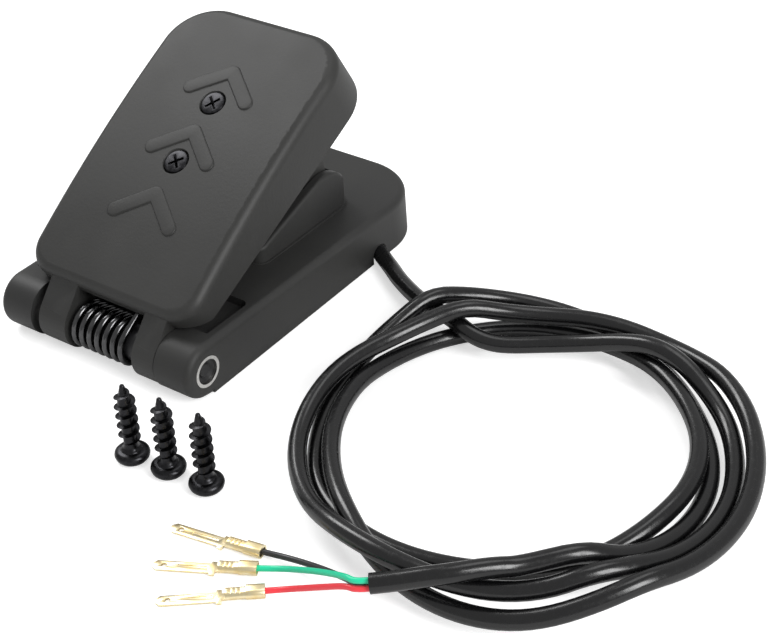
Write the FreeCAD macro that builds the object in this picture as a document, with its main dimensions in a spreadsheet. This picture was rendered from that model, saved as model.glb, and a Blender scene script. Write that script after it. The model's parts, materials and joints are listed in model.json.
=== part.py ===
"""Foot throttle pedal: a sprung, hinged pedal over a moulded base with a contactless position sensor.

Lengths are millimetres and angles are degrees. The base stands on the floor, z = 0, and the origin
lies in the middle of its three mounting holes. Pieces of the base are drawn from the hinge line, with
y running to the toe, and are then moved back by hinge_setback. Pieces of the pedal are drawn in a
frame that tilts with the pedal: y along it from the hinge, z square to it.
"""
import FreeCAD, Part
import math
import os
import Sketcher

Vector = FreeCAD.Vector
doc = FreeCAD.newDocument("FootThrottlePedal")

SIZES = (
    ("hinge_height", 7.2, "hinge line above the floor"),
    ("barrel_radius", 7.3, "hinge barrels of the base, flattened a little by the floor"),
    ("hinge_setback", 64.0, "hinge line behind the middle of the mounting holes"),
    ("rest_tilt", 30.4, "pedal at rest, above level"),
    ("base_width", 63.0, "base, side to side"),
    ("base_length", 95.6, "hinge line to the toe of the base"),
    ("toe_height", 13.1, "top of the base at its toe"),
    ("toe_draft", 0.4, "lean of the toe wall over its height"),
    ("heel_gap", 8.4, "hinge line to the heel wall between the barrels"),
    ("barrel_width", 11.0, "each outer hinge barrel"),
    ("base_corner", 18.0, "plan corners of the base at its toe"),
    ("toe_corner", 14.0, "plan corners of the pedal at its toe"),
    ("edge_round", 1.9, "soft top edge of the base"),
    ("wall", 2.2, "wall of both mouldings"),
    ("roof", 2.4, "top wall of the base"),
    ("cover_thickness", 1.3, "bottom cover"),
    ("cover_rim", 1.2, "rim of the base round its bottom cover"),
    ("cover_gap", 0.2, "bottom cover inside that rim"),
    ("cross_wall", 38.5, "hinge line to the toe side of the cross wall in the base"),
    ("collar_width", 41.2, "raised collar on the base"),
    ("collar_start", 35.0, "hinge line to the heel side of the collar"),
    ("collar_end", 74.4, "hinge line to the toe side of the collar"),
    ("collar_low", 18.1, "collar top at its heel side"),
    ("collar_slope", 17.0, "slope of the collar top"),
    ("collar_nose", 10.8, "round of the collar top into its toe side"),
    ("collar_lip", 0.6, "lip along the foot of the collar"),
    ("slot_start", 57.0, "hinge line to the slot of the magnet arm"),
    ("slot_end", 70.2, "hinge line to the far wall of that slot"),
    ("slot_gap", 0.6, "slot beside the magnet arm"),
    ("slot_wall", 1.5, "wall round that slot"),
    ("pad_height", 0.9, "stop pad on the collar"),
    ("well_floor", 12.0, "floor of the shallow well under the heel of the pedal"),
    ("well_end", 20.5, "hinge line to the end of that well"),
    ("well_width", 56.6, "that well, side to side"),
    ("bolt_circle", 44.0, "circle of the three mounting holes"),
    ("pilot_radius", 1.6, "pilot hole of a mounting screw"),
    ("cover_hole", 2.5, "hole of a mounting screw in the cover"),
    ("mount_boss", 3.5, "boss of a mounting screw"),
    ("tube_radius", 4.15, "hinge tube"),
    ("tube_bore", 3.3, "bore of the hinge tube"),
    ("fit_gap", 0.05, "gap of pieces that are fixed in each other"),
    ("turn_gap", 0.08, "gap of pieces that turn on each other"),
    ("ear_radius", 7.1, "hub of a pedal ear"),
    ("ear_right_start", 13.2, "middle to the inner face of the right ear"),
    ("ear_left_start", 9.0, "middle to the inner face of the left ear"),
    ("ear_left_end", 17.9, "middle to the outer face of the left ear"),
    ("ear_side_gap", 0.3, "right ear beside its barrel"),
    ("stop_gap", 0.25, "rest stop from the heel wall"),
    ("wire_radius", 0.85, "spring wire"),
    ("spring_radius", 5.55, "middle of the spring wire from the hinge line"),
    ("spring_pitch", 2.58, "spring, turn to turn"),
    ("spring_start", -7.9, "first turn of the spring from the middle"),
    ("leg_length", 22.0, "spring leg on the base"),
    ("leg_slope", 8.0, "spring leg on the base, above level"),
    ("arm_leg_length", 26.0, "spring leg under the pedal"),
    ("pedal_width", 54.8, "pedal skirt, side to side at its foot"),
    ("pedal_start", 5.0, "hinge line to the heel of the pedal"),
    ("pedal_end", 89.3, "hinge line to the toe of the pedal"),
    ("pedal_top", 14.0, "highest line of the tread above the hinge line"),
    ("crown_radius", 385.0, "lengthwise crown of the tread"),
    ("crown_middle", 50.0, "hinge line to the highest line of the tread"),
    ("pedal_draft", 0.7, "draft of the pedal skirt"),
    ("pedal_heel_corner", 8.0, "plan corners at the heel of the pedal"),
    ("tread_round", 3.0, "soft edge of the tread"),
    ("tread_wall", 2.4, "tread plate"),
    ("heel_lip", 6.7, "foot of the heel skirt above the hinge line"),
    ("chevron_rise", 0.35, "raised chevrons on the tread"),
    ("chevron_width", 4.0, "arm of a chevron"),
    ("chevron_pitch", 18.9, "chevron to chevron"),
    ("chevron_first", 35.9, "hinge line to the first chevron"),
    ("chevron_reach", 11.8, "chevron tip from the middle"),
    ("chevron_sweep", 9.7, "chevron tip behind its point"),
    ("arm_inner", 60.5, "inner face of the magnet arm from the hinge line"),
    ("arm_outer", 69.5, "outer face of the magnet arm from the hinge line"),
    ("arm_width", 35.0, "magnet arm"),
    ("arm_reach", 15.9, "lower end of the magnet arm, below the line of the pedal"),
    ("arm_plate_low", 6.0, "underside of the arm's mounting plate"),
    ("arm_plate", 2.4, "arm's mounting plate"),
    ("arm_plate_start", 36.0, "hinge line to the arm's mounting plate"),
    ("screw_first", 43.1, "hinge line to the first pedal screw"),
    ("screw_second", 61.2, "hinge line to the second pedal screw"),
    ("counterbore", 3.7, "screw recess in the tread, radius"),
    ("screw_seat", 12.0, "underside of the screw heads above the hinge line"),
    ("boss_foot", 10.2, "foot of the tread bosses above the hinge line"),
    ("magnet_radius", 2.5, "round magnet"),
    ("magnet_depth", 2.4, "magnet, face to back"),
    ("board_width", 26.8, "sensor board"),
    ("board_thickness", 1.6, "sensor board"),
    ("board_top", 17.5, "sensor board's upper edge"),
    ("cord_radius", 2.2, "cable sheath"),
    ("cord_lie", 2.25, "middle of the cable where it lies on the floor"),
    ("clamp_lie", 5.0, "middle of the cable in its clamp"),
    ("exit_inset", 25.1, "toe of the base to the cable exit in the right wall"),
    ("exit_turn", 33.0, "cable exit, turned from square"),
    ("core_radius", 0.68, "insulated core of the cable"),
    ("tab_width", 2.8, "blade of a terminal"),
    ("tab_thickness", 0.5, "sheet of a terminal"),
    ("strand_gap", 0.9, "room between strands of the loose coil that cross"),
    ("terminal_length", 23.0, "terminal, mouth to tip"),
    ("blade_length", 12.7, "blade of a terminal"),
    ("grip_length", 4.0, "crimp of a terminal round the insulation"),
    ("grip_width", 3.5, "that crimp, side to side"),
    ("crimp_length", 4.4, "crimp of a terminal round the conductor"),
    ("crimp_width", 2.9, "that crimp, side to side"),
    ("barrel_lie", 1.35, "middle of both crimps above the floor"),
    ("mounting_height", 21.5, "mounting screw, head to tip"),
    ("mounting_shank", 1.6, "shank of a mounting screw"),
    ("mounting_head", 4.2, "head of a mounting screw"),
)

# The cable as it lies, in millimetres from its exit in the wall: plan points of the lead and the free
# end, and the coil's reach from its middle at each quarter turn, clockwise from above.
LEAD_ROUTE = (
    (5.5, -3.6), (12.1, -8.5), (19.3, -12.9), (26.9, -16.9), (34.0, -20.1), (40.8, -22.9), (47.5, -23.7))
COIL_MIDDLE = (76.6, -51.6)
COIL_TURN = 37
COIL_REACHES = (38.4, 47.4, 50.5, 51.1, 46.4, 51.7, 55.9, 43.4, 48.7, 39.5, 38.8, 47.0, 57.6, 42.0, 45.5)
FREE_END_ROUTE = ((91.0, -102.3), (81.3, -109.1))
NODE_STEP = 3
LEAD_STEP = 2

# Each core's colour, its bends from the cable's end to its terminal, the terminal's place and heading.
CORES = (
    ("black", ((71.0, -110.7, 8.4), (61.8, -107.8, 4.4), (52.6, -106.6, 1.5)), (46.3, -108.1), 189.6),
    ("green", ((72.8, -112.8, 11.6), (63.0, -110.9, 6.6), (53.6, -110.0, 1.7)), (48.6, -112.7), 207.5),
    ("red", ((73.3, -113.7, 10.0), (65.9, -114.1, 6.0), (58.0, -114.5, 1.7)), (54.2, -117.1), 218.5),
)
MOUNTING_SCREW_PLACES = ((31.6, -28.0), (42.0, -27.2), (53.0, -26.8))


class Size:
    """A number together with the spreadsheet expression that it comes from."""

    def __init__(self, number, text=None):
        self.number = float(number)
        self.text = text or "%.10g" % self.number

    def joined(self, sign, other, number):
        return Size(number, "(%s %s %s)" % (self.text, sign, other.text))

    def __add__(self, other):
        other = sized(other)
        return self.joined("+", other, self.number + other.number)

    def __sub__(self, other):
        other = sized(other)
        return self.joined("-", other, self.number - other.number)

    def __mul__(self, other):
        other = sized(other)
        return self.joined("*", other, self.number * other.number)

    def __truediv__(self, other):
        other = sized(other)
        return self.joined("/", other, self.number / other.number)

    def __radd__(self, other):
        return sized(other) + self

    def __rsub__(self, other):
        return sized(other) - self

    def __rmul__(self, other):
        return sized(other) * self

    def __neg__(self):
        return Size(0) - self


def sized(value):
    """A plain number as a Size; a Size stays as it is."""
    return value if isinstance(value, Size) else Size(value)


def root(value):
    return Size(math.sqrt(value.number), "sqrt(%s)" % value.text)


def sine(angle):
    return Size(math.sin(math.radians(angle.number)), "sin(%s)" % angle.text)


def cosine(angle):
    return Size(math.cos(math.radians(angle.number)), "cos(%s)" % angle.text)


def polar(radius, angle):
    """The point at this radius and this angle above the y axis."""
    return radius * cosine(angle), radius * sine(angle)


def tangent_point(radius, outside, side):
    """Where the tangent from a point outside touches a circle round the origin; side is 1 or -1."""
    y, z = outside
    square = y * y + z * z
    near = radius * radius / square
    across = side * radius * root(square - radius * radius) / square
    return near * y - across * z, near * z + across * y


class Sheet:
    """The spreadsheet's cells, one attribute for each alias."""


def fill_sheet():
    sheet = doc.addObject("Spreadsheet::Sheet", "Sizes")
    cells = Sheet()
    for row, (alias, value, note) in enumerate(SIZES, start=1):
        sheet.set("A%d" % row, alias)
        sheet.set("B%d" % row, str(value))
        sheet.set("C%d" % row, note)
        sheet.setAlias("B%d" % row, alias)
        setattr(cells, alias, Size(value, "Sizes." + alias))
    return cells


s = fill_sheet()
doc.recompute()

half_width = s.base_width / 2
barrel_inner = half_width - s.barrel_width
roof_under = s.toe_height - s.roof
slot_half = s.arm_width / 2 + s.slot_gap
exit_place = s.base_length - s.exit_inset
cover_start = s.heel_gap + s.cover_rim


def bind(item, name, value):
    """Sets one property and ties it to the spreadsheet."""
    value = sized(value)
    item.setExpression(name, value.text)


def body(name):
    return doc.addObject("PartDesign::Body", name)


def sketch_on(owner, role, name, offset=0):
    """A sketch on one of the body's origin planes, moved along the plane's normal."""
    plane = [item for item in owner.Origin.OriginFeatures if item.Role == role][0]
    sketch = owner.newObject("Sketcher::SketchObject", name)
    sketch.AttachmentSupport = [(plane, "")]
    sketch.MapMode = "FlatFace"
    offset = sized(offset)
    sketch.AttachmentOffset = FreeCAD.Placement(Vector(0, 0, offset.number), FreeCAD.Rotation())
    bind(sketch, "AttachmentOffset.Base.z", offset)
    return sketch


def fix(sketch, kind, item, point, value):
    """One distance from the sketch's origin, tied to the spreadsheet."""
    value = sized(value)
    index = sketch.addConstraint(Sketcher.Constraint(kind, -1, 1, item, point, value.number))
    sketch.setExpression("Constraints[%d]" % index, value.text)


def arc_between(start, end, radius, bulge):
    """An arc joining two points; bulge 1 swells to the right of the way, -1 to the left."""
    if bulge < 0:
        start, end = end, start
    middle = (start + end) * 0.5
    way = end - start
    to_centre = math.sqrt(max(radius * radius - way.Length ** 2 / 4, 0))
    centre = middle + Vector(-way.y, way.x, 0).normalize() * to_centre
    angles = [math.atan2(point.y - centre.y, point.x - centre.x) for point in (start, end)]
    return Part.ArcOfCircle(Part.Circle(centre, Vector(0, 0, 1), radius), angles[0], angles[1])


def outline(sketch, corners, arcs=()):
    """A closed outline; arcs gives (radius, bulge) for the side that leaves a corner."""
    arcs = dict(arcs)
    points = [Vector(sized(x).number, sized(y).number, 0) for x, y in corners]
    first = sketch.GeometryCount
    count = len(corners)
    ends = []
    for index, start in enumerate(points):
        end = points[(index + 1) % count]
        if index in arcs:
            radius, bulge = arcs[index]
            sketch.addGeometry(arc_between(start, end, sized(radius).number, bulge), False)
        else:
            bulge = 1
            sketch.addGeometry(Part.LineSegment(start, end), False)
        ends.append((1, 2) if bulge > 0 else (2, 1))
    for index in range(count):
        following = (index + 1) % count
        sketch.addConstraint(Sketcher.Constraint(
            "Coincident", first + index, ends[index][1], first + following, ends[following][0]))
        fix(sketch, "DistanceX", first + index, ends[index][0], corners[index][0])
        fix(sketch, "DistanceY", first + index, ends[index][0], corners[index][1])
        if index in arcs:
            radius = sized(arcs[index][0])
            rule = sketch.addConstraint(Sketcher.Constraint("Radius", first + index, radius.number))
            sketch.setExpression("Constraints[%d]" % rule, radius.text)


def rectangle(sketch, left, right, low, high, radii=(0, 0, 0, 0)):
    """A rectangle with its corners rounded: low left, low right, high right, high left."""
    corners = []
    arcs = {}
    places = ((left, low, 0, 1, 1, 0), (right, low, -1, 0, 0, 1),
              (right, high, 0, -1, -1, 0), (left, high, 1, 0, 0, -1))
    for (x, y, in_x, in_y, out_x, out_y), radius in zip(places, radii):
        x, y, radius = sized(x), sized(y), sized(radius)
        if radius.number == 0:
            corners.append((x, y))
            continue
        arcs[len(corners)] = (radius, 1)
        corners.append((x + in_x * radius, y + in_y * radius))
        corners.append((x + out_x * radius, y + out_y * radius))
    outline(sketch, corners, arcs)


def circle(sketch, x, y, radius):
    x, y, radius = sized(x), sized(y), sized(radius)
    item = sketch.addGeometry(Part.Circle(Vector(x.number, y.number, 0), Vector(0, 0, 1), radius.number))
    fix(sketch, "DistanceX", item, 3, x)
    fix(sketch, "DistanceY", item, 3, y)
    rule = sketch.addConstraint(Sketcher.Constraint("Radius", item, radius.number))
    sketch.setExpression("Constraints[%d]" % rule, radius.text)


def grown(sketch, kind, length, centred, backward):
    owner = sketch.getParentGeoFeatureGroup()
    feature = owner.newObject("PartDesign::" + kind, sketch.Name + "_" + kind.lower())
    feature.Profile = sketch
    if length is None:
        feature.Type = "ThroughAll"
    else:
        feature.Length = sized(length).number
        bind(feature, "Length", length)
    feature.Midplane = centred
    feature.Reversed = backward
    sketch.Visibility = False
    return feature


def pad(sketch, length, centred=False, backward=False):
    return grown(sketch, "Pad", length, centred, backward)


def pocket(sketch, length=None, centred=False, backward=False):
    """Cuts against the sketch's normal, or along it when backward."""
    return grown(sketch, "Pocket", length, centred, backward)


def turned(owner, name, corners, arcs=()):
    """A solid of revolution about the z axis from corners of (radius, height)."""
    sketch = sketch_on(owner, "XZ_Plane", name)
    outline(sketch, corners, arcs)
    feature = owner.newObject("PartDesign::Revolution", name + "_turned")
    feature.Profile = sketch
    feature.ReferenceAxis = (sketch, ["V_Axis"])
    feature.Angle = 360
    return feature


def rounded(owner, name, feature, radius, wanted, kind="Fillet"):
    """Rounds or bevels the edges of a feature for which wanted(edge) is true."""
    doc.recompute()
    edges = ["Edge%d" % (index + 1) for index, edge in enumerate(feature.Shape.Edges) if wanted(edge)]
    treated = owner.newObject("PartDesign::" + kind, name)
    treated.Base = (feature, edges)
    measure = "Radius" if kind == "Fillet" else "Size"
    setattr(treated, measure, sized(radius).number)
    bind(treated, measure, radius)
    return treated


def place_on_base(item, x=0, y=0, z=0):
    """Moves a piece drawn from the hinge line to the part's own origin."""
    bind(item, "Placement.Base.x", x)
    bind(item, "Placement.Base.y", y - s.hinge_setback)
    bind(item, "Placement.Base.z", z)


def tipped(angle):
    """A turn about the x axis."""
    return FreeCAD.Placement(Vector(0, 0, 0), FreeCAD.Rotation(Vector(1, 0, 0), angle))


def place_on_pedal(item):
    """Tilts a piece drawn in the pedal's frame and puts it on the hinge line."""
    item.Placement = tipped(s.rest_tilt.number)
    bind(item, "Placement.Rotation.Angle", s.rest_tilt)
    bind(item, "Placement.Base.y", -s.hinge_setback)
    bind(item, "Placement.Base.z", s.hinge_height)


NODES = []


def finish(item, label):
    """Names a finished sub-part; its label is the name of its file."""
    item.Label = label
    NODES.append(item)
    return item


def group(label, items):
    """Several like solids kept together as one sub-part."""
    compound = doc.addObject("Part::Compound", label)
    compound.Links = items
    return finish(compound, label)


def mount_places():
    """The three mounting holes: one to the toe, two to the heel."""
    radius = s.bolt_circle / 2
    for angle in (90, 210, 330):
        yield radius * cosine(Size(angle)), s.hinge_setback + radius * sine(Size(angle))


def cover_screw_places():
    """Two screws beside the cross wall and two by the toe wall."""
    for side in (-1, 1):
        yield side * (half_width - 5.3), s.cross_wall + 5.7
        yield side * (half_width - s.base_corner - 2), s.base_length - 8.2


exit_cos = cosine(s.exit_turn)
exit_sin = sine(s.exit_turn)
clamp_inset = Size(17)
entry_length = clamp_inset + 4


def along_exit(distance, aside=0):
    """A point on the cable's line inside the base, and aside from it."""
    x = half_width - distance * exit_cos + aside * exit_sin
    y = exit_place + distance * exit_sin + aside * exit_cos
    return x, y


def make_base_housing():
    housing = body("housing")
    side = sketch_on(housing, "YZ_Plane", "side")
    toe_top = (s.base_length - s.toe_draft, s.toe_height)
    over = (toe_top[0], toe_top[1] - s.hinge_height)
    touch = tangent_point(s.barrel_radius, over, 1)
    floor_touch = -root(s.barrel_radius * s.barrel_radius - s.hinge_height * s.hinge_height)
    outline(side, [
        (floor_touch, 0), (s.base_length, 0), toe_top, (touch[0], touch[1] + s.hinge_height),
        (-s.barrel_radius, s.hinge_height)], {3: (s.barrel_radius, 1), 4: (s.barrel_radius, 1)})
    block = pad(side, s.base_width, centred=True)

    gap = sketch_on(housing, "XY_Plane", "heel_opening")
    rectangle(gap, -barrel_inner, barrel_inner, -2 * s.hinge_height, s.heel_gap)
    opened = pocket(gap, None, centred=True)

    def toe_corner(edge):
        box = edge.BoundBox
        return box.ZLength > 5 and box.XLength < 0.1 and box.YMin > s.base_length.number - 3
    cornered = rounded(housing, "toe_corners", opened, s.base_corner, toe_corner)

    def top_edge(edge):
        box = edge.BoundBox
        long_side = box.YLength > 60 and box.ZMin > 10
        return long_side and abs(abs(box.XMin) - half_width.number) < 0.01
    rounded(housing, "soft_edge", cornered, s.edge_round, top_edge)

    foot = sketch_on(housing, "XY_Plane", "foot")
    outline(foot, [
        (half_width, 1.5), (half_width, s.cross_wall), (-half_width, s.cross_wall), (-half_width, 1.5),
        (-barrel_inner, 1.5), (-barrel_inner, s.heel_gap), (barrel_inner, s.heel_gap), (barrel_inner, 1.5)])
    pad(foot, s.edge_round)
    recess = sketch_on(housing, "XY_Plane", "cover_recess")
    cover_outline(recess, s.cover_rim, Size(0))
    pocket(recess, s.cover_thickness, backward=True)

    well = sketch_on(housing, "XY_Plane", "well", s.well_floor)
    rectangle(well, -s.well_width / 2, s.well_width / 2, 4.6, s.well_end, (0, 0, 2, 2))
    pocket(well, s.hinge_height, backward=True)

    collar_half = s.collar_width / 2
    lip = sketch_on(housing, "XY_Plane", "lip", s.toe_height - 1)
    rectangle(lip, -collar_half - s.collar_lip, collar_half + s.collar_lip,
              s.collar_start - s.collar_lip, s.collar_end + s.collar_lip, (3.8, 3.8, 6.8, 6.8))
    pad(lip, 1 + 2 * s.collar_lip)
    collar = sketch_on(housing, "XY_Plane", "collar", s.toe_height - 1)
    rectangle(collar, -collar_half, collar_half, s.collar_start, s.collar_end, (3, 3, 6, 6))
    pad(collar, 16)
    above = sketch_on(housing, "YZ_Plane", "collar_top")
    rise = sine(s.collar_slope) / cosine(s.collar_slope)
    nose_y, nose_z = collar_nose_middle()
    crest = (nose_y - s.collar_nose * sine(s.collar_slope), nose_z + s.collar_nose * cosine(s.collar_slope))
    outline(above, [
        (s.collar_start - 2, s.collar_low - 2 * rise), crest, (nose_y + s.collar_nose, nose_z),
        (s.base_length, nose_z), (s.base_length, 2 * s.collar_low), (s.collar_start - 2, 2 * s.collar_low)],
        {1: (s.collar_nose, -1)})
    sloped = pocket(above, None, centred=True)

    def around_top(edge):
        point = edge.valueAt((edge.FirstParameter + edge.LastParameter) / 2)
        along_slope = s.collar_low.number + (point.y - s.collar_start.number) * rise.number
        on_slope = abs(point.z - along_slope) < 0.05
        away = math.hypot(point.y - nose_y.number, point.z - nose_z.number)
        on_nose = abs(away - s.collar_nose.number) < 0.05 and point.z > nose_z.number + 1
        aside = abs(point.x) > collar_half.number - 7
        return (on_slope or on_nose) and aside and point.z > s.toe_height.number + 2
    rounded(housing, "collar_soft_edge", sloped, 0.9, around_top)

    hollow = sketch_on(housing, "XY_Plane", "hollow")
    inner = half_width - s.wall
    inner_corner = s.base_corner - s.wall
    rectangle(hollow, -inner, inner, s.cross_wall + s.wall, s.base_length - s.wall - s.toe_draft,
              (1.5, 1.5, inner_corner, inner_corner))
    pocket(hollow, roof_under, backward=True)
    chamber = sketch_on(housing, "XY_Plane", "sensor_chamber")
    chamber_half = collar_half - s.roof
    chamber_start = s.collar_start + 10
    rectangle(chamber, -chamber_half, chamber_half, chamber_start, s.slot_start - s.slot_wall, (1, 1, 1, 1))
    pocket(chamber, s.collar_low + 10 * rise - s.roof, backward=True)

    slot_wall = sketch_on(housing, "XY_Plane", "slot_wall", s.cover_thickness)
    wall_half = slot_half + s.slot_wall
    rectangle(slot_wall, -wall_half, wall_half, s.slot_start - s.slot_wall, s.slot_end + s.slot_wall)
    pad(slot_wall, roof_under - s.cover_thickness + 0.2)
    slot = sketch_on(housing, "XY_Plane", "slot")
    rectangle(slot, -slot_half, slot_half, s.slot_start, s.slot_end)
    pocket(slot, None, centred=True)

    boss_rise = roof_under - s.cover_thickness + 0.2
    bosses = sketch_on(housing, "XY_Plane", "mount_bosses", s.cover_thickness)
    pilots = sketch_on(housing, "XY_Plane", "mount_pilots")
    for x, y in mount_places():
        circle(bosses, x, y, s.mount_boss)
        circle(pilots, x, y, s.pilot_radius)
    pad(bosses, boss_rise)
    pocket(pilots, roof_under - 1, backward=True)
    posts = sketch_on(housing, "XY_Plane", "cover_posts", s.cover_thickness)
    holes = sketch_on(housing, "XY_Plane", "cover_pilots")
    for x, y in cover_screw_places():
        circle(posts, x, y, 2.6)
        circle(holes, x, y, 0.9)
    pad(posts, boss_rise)
    pocket(holes, roof_under - 1.5, backward=True)

    clamp_posts = sketch_on(housing, "XY_Plane", "clamp_posts", s.clamp_lie - s.cord_radius)
    clamp_pilots = sketch_on(housing, "XY_Plane", "clamp_pilots", s.clamp_lie - s.cord_radius)
    for aside in (-5.6, 5.6):
        x, y = along_exit(clamp_inset, aside)
        circle(clamp_posts, x, y, 2.2)
        circle(clamp_pilots, x, y, 0.8)
    pad(clamp_posts, roof_under - s.clamp_lie + s.cord_radius + 0.2)
    pocket(clamp_pilots, 6.5, backward=True)
    saddle = sketch_on(housing, "XY_Plane", "clamp_saddle", s.clamp_lie + s.cord_radius)
    outline(saddle, [along_exit(clamp_inset + ahead, aside)
                     for ahead, aside in ((-1, -4), (-1, 4), (1, 4), (1, -4))])
    pad(saddle, roof_under - s.clamp_lie - s.cord_radius + 0.2)

    rails = sketch_on(housing, "XY_Plane", "board_rails", 4.0)
    board_half = s.board_width / 2
    board_back = s.slot_start - s.slot_wall - 1.0
    for side in (-1, 1):
        near, away = (board_half - 0.8, board_half + 1.6)
        ends = (near, away) if side == 1 else (-away, -near)
        rail_end = s.slot_start - s.slot_wall + 0.1
        rectangle(rails, ends[0], ends[1], board_back - s.board_thickness - 1.3, rail_end)
    pad(rails, s.board_top - 3.7)
    grooves = sketch_on(housing, "XY_Plane", "board_grooves", 4.0)
    rectangle(grooves, -board_half - 0.1, board_half + 0.1,
              board_back - s.board_thickness - 0.1, board_back + 0.1)
    pocket(grooves, s.board_top - 3.7, backward=True)

    core = sketch_on(housing, "XY_Plane", "heel_hollow")
    rectangle(core, -half_width + 2.7, half_width - 2.7, s.heel_gap + s.wall, s.cross_wall - s.roof,
              (1, 1, 1, 1))
    pocket(core, s.well_floor - s.roof, backward=True)
    ribs = sketch_on(housing, "XY_Plane", "heel_ribs", s.cover_thickness)
    for middle in (-19, 0, 19):
        rectangle(ribs, middle - 0.8, middle + 0.8, s.heel_gap + 1, s.cross_wall - 2)
    pad(ribs, s.well_floor - s.roof - s.cover_thickness + 0.2)

    bore = sketch_on(housing, "YZ_Plane", "hinge_bore")
    circle(bore, 0, s.hinge_height, s.tube_radius + s.fit_gap)
    pocket(bore, None, centred=True)

    leg_middle = s.spring_start
    touch_y, touch_z = leg_touch()
    slope = sine(s.leg_slope) / cosine(s.leg_slope)
    ledge_end = s.heel_gap + 13
    under = s.wire_radius / cosine(s.leg_slope) + s.fit_gap
    ledge = sketch_on(housing, "YZ_Plane", "leg_ledge", leg_middle)
    ledge_low = touch_z + (s.heel_gap + 1 - touch_y) * slope - under
    ledge_high = touch_z + (ledge_end - touch_y) * slope - under
    ledge_foot = s.cover_thickness
    outline(ledge, [(s.heel_gap + 1, ledge_foot), (ledge_end, ledge_foot), (ledge_end, ledge_high),
                    (s.heel_gap + 1, ledge_low)])
    pad(ledge, 3.6, centred=True)
    leg_slot = sketch_on(housing, "YZ_Plane", "leg_slot", leg_middle)
    slot_far = s.heel_gap + s.wall + 0.3
    low_near = touch_z + (s.heel_gap - 1 - touch_y) * slope - under
    low_far = touch_z + (slot_far - touch_y) * slope - under
    outline(leg_slot, [(s.heel_gap - 1, low_near), (slot_far, low_far),
                       (slot_far, low_far + 2.4), (s.heel_gap - 1, low_near + 2.4)])
    pocket(leg_slot, 2 * s.wire_radius + 0.5, centred=True)

    notch = sketch_on(housing, "YZ_Plane", "cable_exit")
    turn_exit_plane(notch)
    exit_arch(notch)
    pocket(notch, 14, centred=True)
    place_on_base(housing)
    return finish(housing, "base_housing")


def cover_outline(sketch, rim, gap):
    """The outline inside the base's rim, drawn in by a gap."""
    edge = half_width - rim - gap
    corner = s.base_corner - rim - gap
    rectangle(sketch, -edge, edge, cover_start + gap, s.base_length - rim - gap, (0, 0, corner, corner))


def collar_nose_middle():
    """The middle of the round that takes the collar's sloping top into its toe side."""
    rise = sine(s.collar_slope) / cosine(s.collar_slope)
    y = s.collar_end - 0.6 - s.collar_nose
    height_on_slope = s.collar_low + (y - s.collar_start) * rise
    return y, height_on_slope - s.collar_nose / cosine(s.collar_slope)


def turn_exit_plane(sketch):
    """Stands a sketch across the cable where the cable passes the right wall."""
    turn = FreeCAD.Rotation(Vector(0, 1, 0), -s.exit_turn.number)
    sketch.AttachmentOffset = FreeCAD.Placement(Vector(exit_place.number, 0, half_width.number), turn)
    bind(sketch, "AttachmentOffset.Base.x", exit_place)
    bind(sketch, "AttachmentOffset.Base.z", half_width)
    bind(sketch, "AttachmentOffset.Rotation.Angle", -s.exit_turn)


def exit_arch(sketch):
    """The arched opening of the cable, open to the floor."""
    reach = s.cord_radius + 0.15
    outline(sketch, [(-reach, -1), (reach, -1), (reach, s.cord_lie), (0, s.cord_lie + reach),
                     (-reach, s.cord_lie)], {2: (reach, 1), 3: (reach, 1)})


def leg_touch():
    """Where the spring's lower leg leaves the coil, from the hinge line at floor level."""
    y, z = polar(s.spring_radius, s.leg_slope - 90)
    return y, z + s.hinge_height


def make_bottom_cover():
    cover = body("cover")
    plan = sketch_on(cover, "XY_Plane", "cover_plan")
    cover_outline(plan, s.cover_rim, s.cover_gap)
    pad(plan, s.cover_thickness - s.fit_gap)
    holes = sketch_on(cover, "XY_Plane", "mount_holes")
    for x, y in mount_places():
        circle(holes, x, y, s.cover_hole)
    pocket(holes, None, centred=True)
    through = sketch_on(cover, "XY_Plane", "screw_holes")
    sunk = sketch_on(cover, "XY_Plane", "screw_recesses")
    for x, y in cover_screw_places():
        circle(through, x, y, 1.2)
        circle(sunk, x, y, 2.2)
    pocket(through, None, centred=True)
    pocket(sunk, 0.7, backward=True)
    notch = sketch_on(cover, "YZ_Plane", "cover_exit")
    turn_exit_plane(notch)
    exit_arch(notch)
    pocket(notch, 22, centred=True)
    place_on_base(cover)
    return finish(cover, "bottom_cover")


def make_cover_screws():
    screws = []
    for index, (x, y) in enumerate(cover_screw_places()):
        screw = body("cover_screw_%d" % index)
        turned(screw, "cover_screw_side_%d" % index, [
            (0, 0.1), (2.0, 0.1), (2.0, 0.7), (0.88, 0.7), (0.88, 7), (0, 7.6)])
        bind(screw, "Placement.Base.x", x)
        bind(screw, "Placement.Base.y", y)
        screws.append(screw)
    place_on_base(group("cover_screws", screws))


def make_hinge_tube():
    tube = body("tube")
    ring = sketch_on(tube, "YZ_Plane", "tube_ring", -half_width + 0.6)
    circle(ring, 0, s.hinge_height, s.tube_radius)
    circle(ring, 0, s.hinge_height, s.tube_bore)
    pad(ring, s.base_width - 0.6)
    place_on_base(tube)
    return finish(tube, "hinge_tube")


def make_tube_plugs():
    for side, label in ((-1, "tube_plug_left"), (1, "tube_plug_right")):
        plug = body(label + "_body")
        radius = s.tube_bore - s.fit_gap
        turned(plug, label + "_side", [
            (0, 0), (radius, 0), (radius, 5), (radius - 0.5, 5), (1.9, 4.5), (1.6, 4.9), (0, 4.9)])
        turn = FreeCAD.Rotation(Vector(0, 1, 0), 90 * side)
        plug.Placement = FreeCAD.Placement(Vector(0, 0, 0), turn)
        place_on_base(plug, side * (half_width - 5.8), 0, s.hinge_height)
        finish(plug, label)


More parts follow.
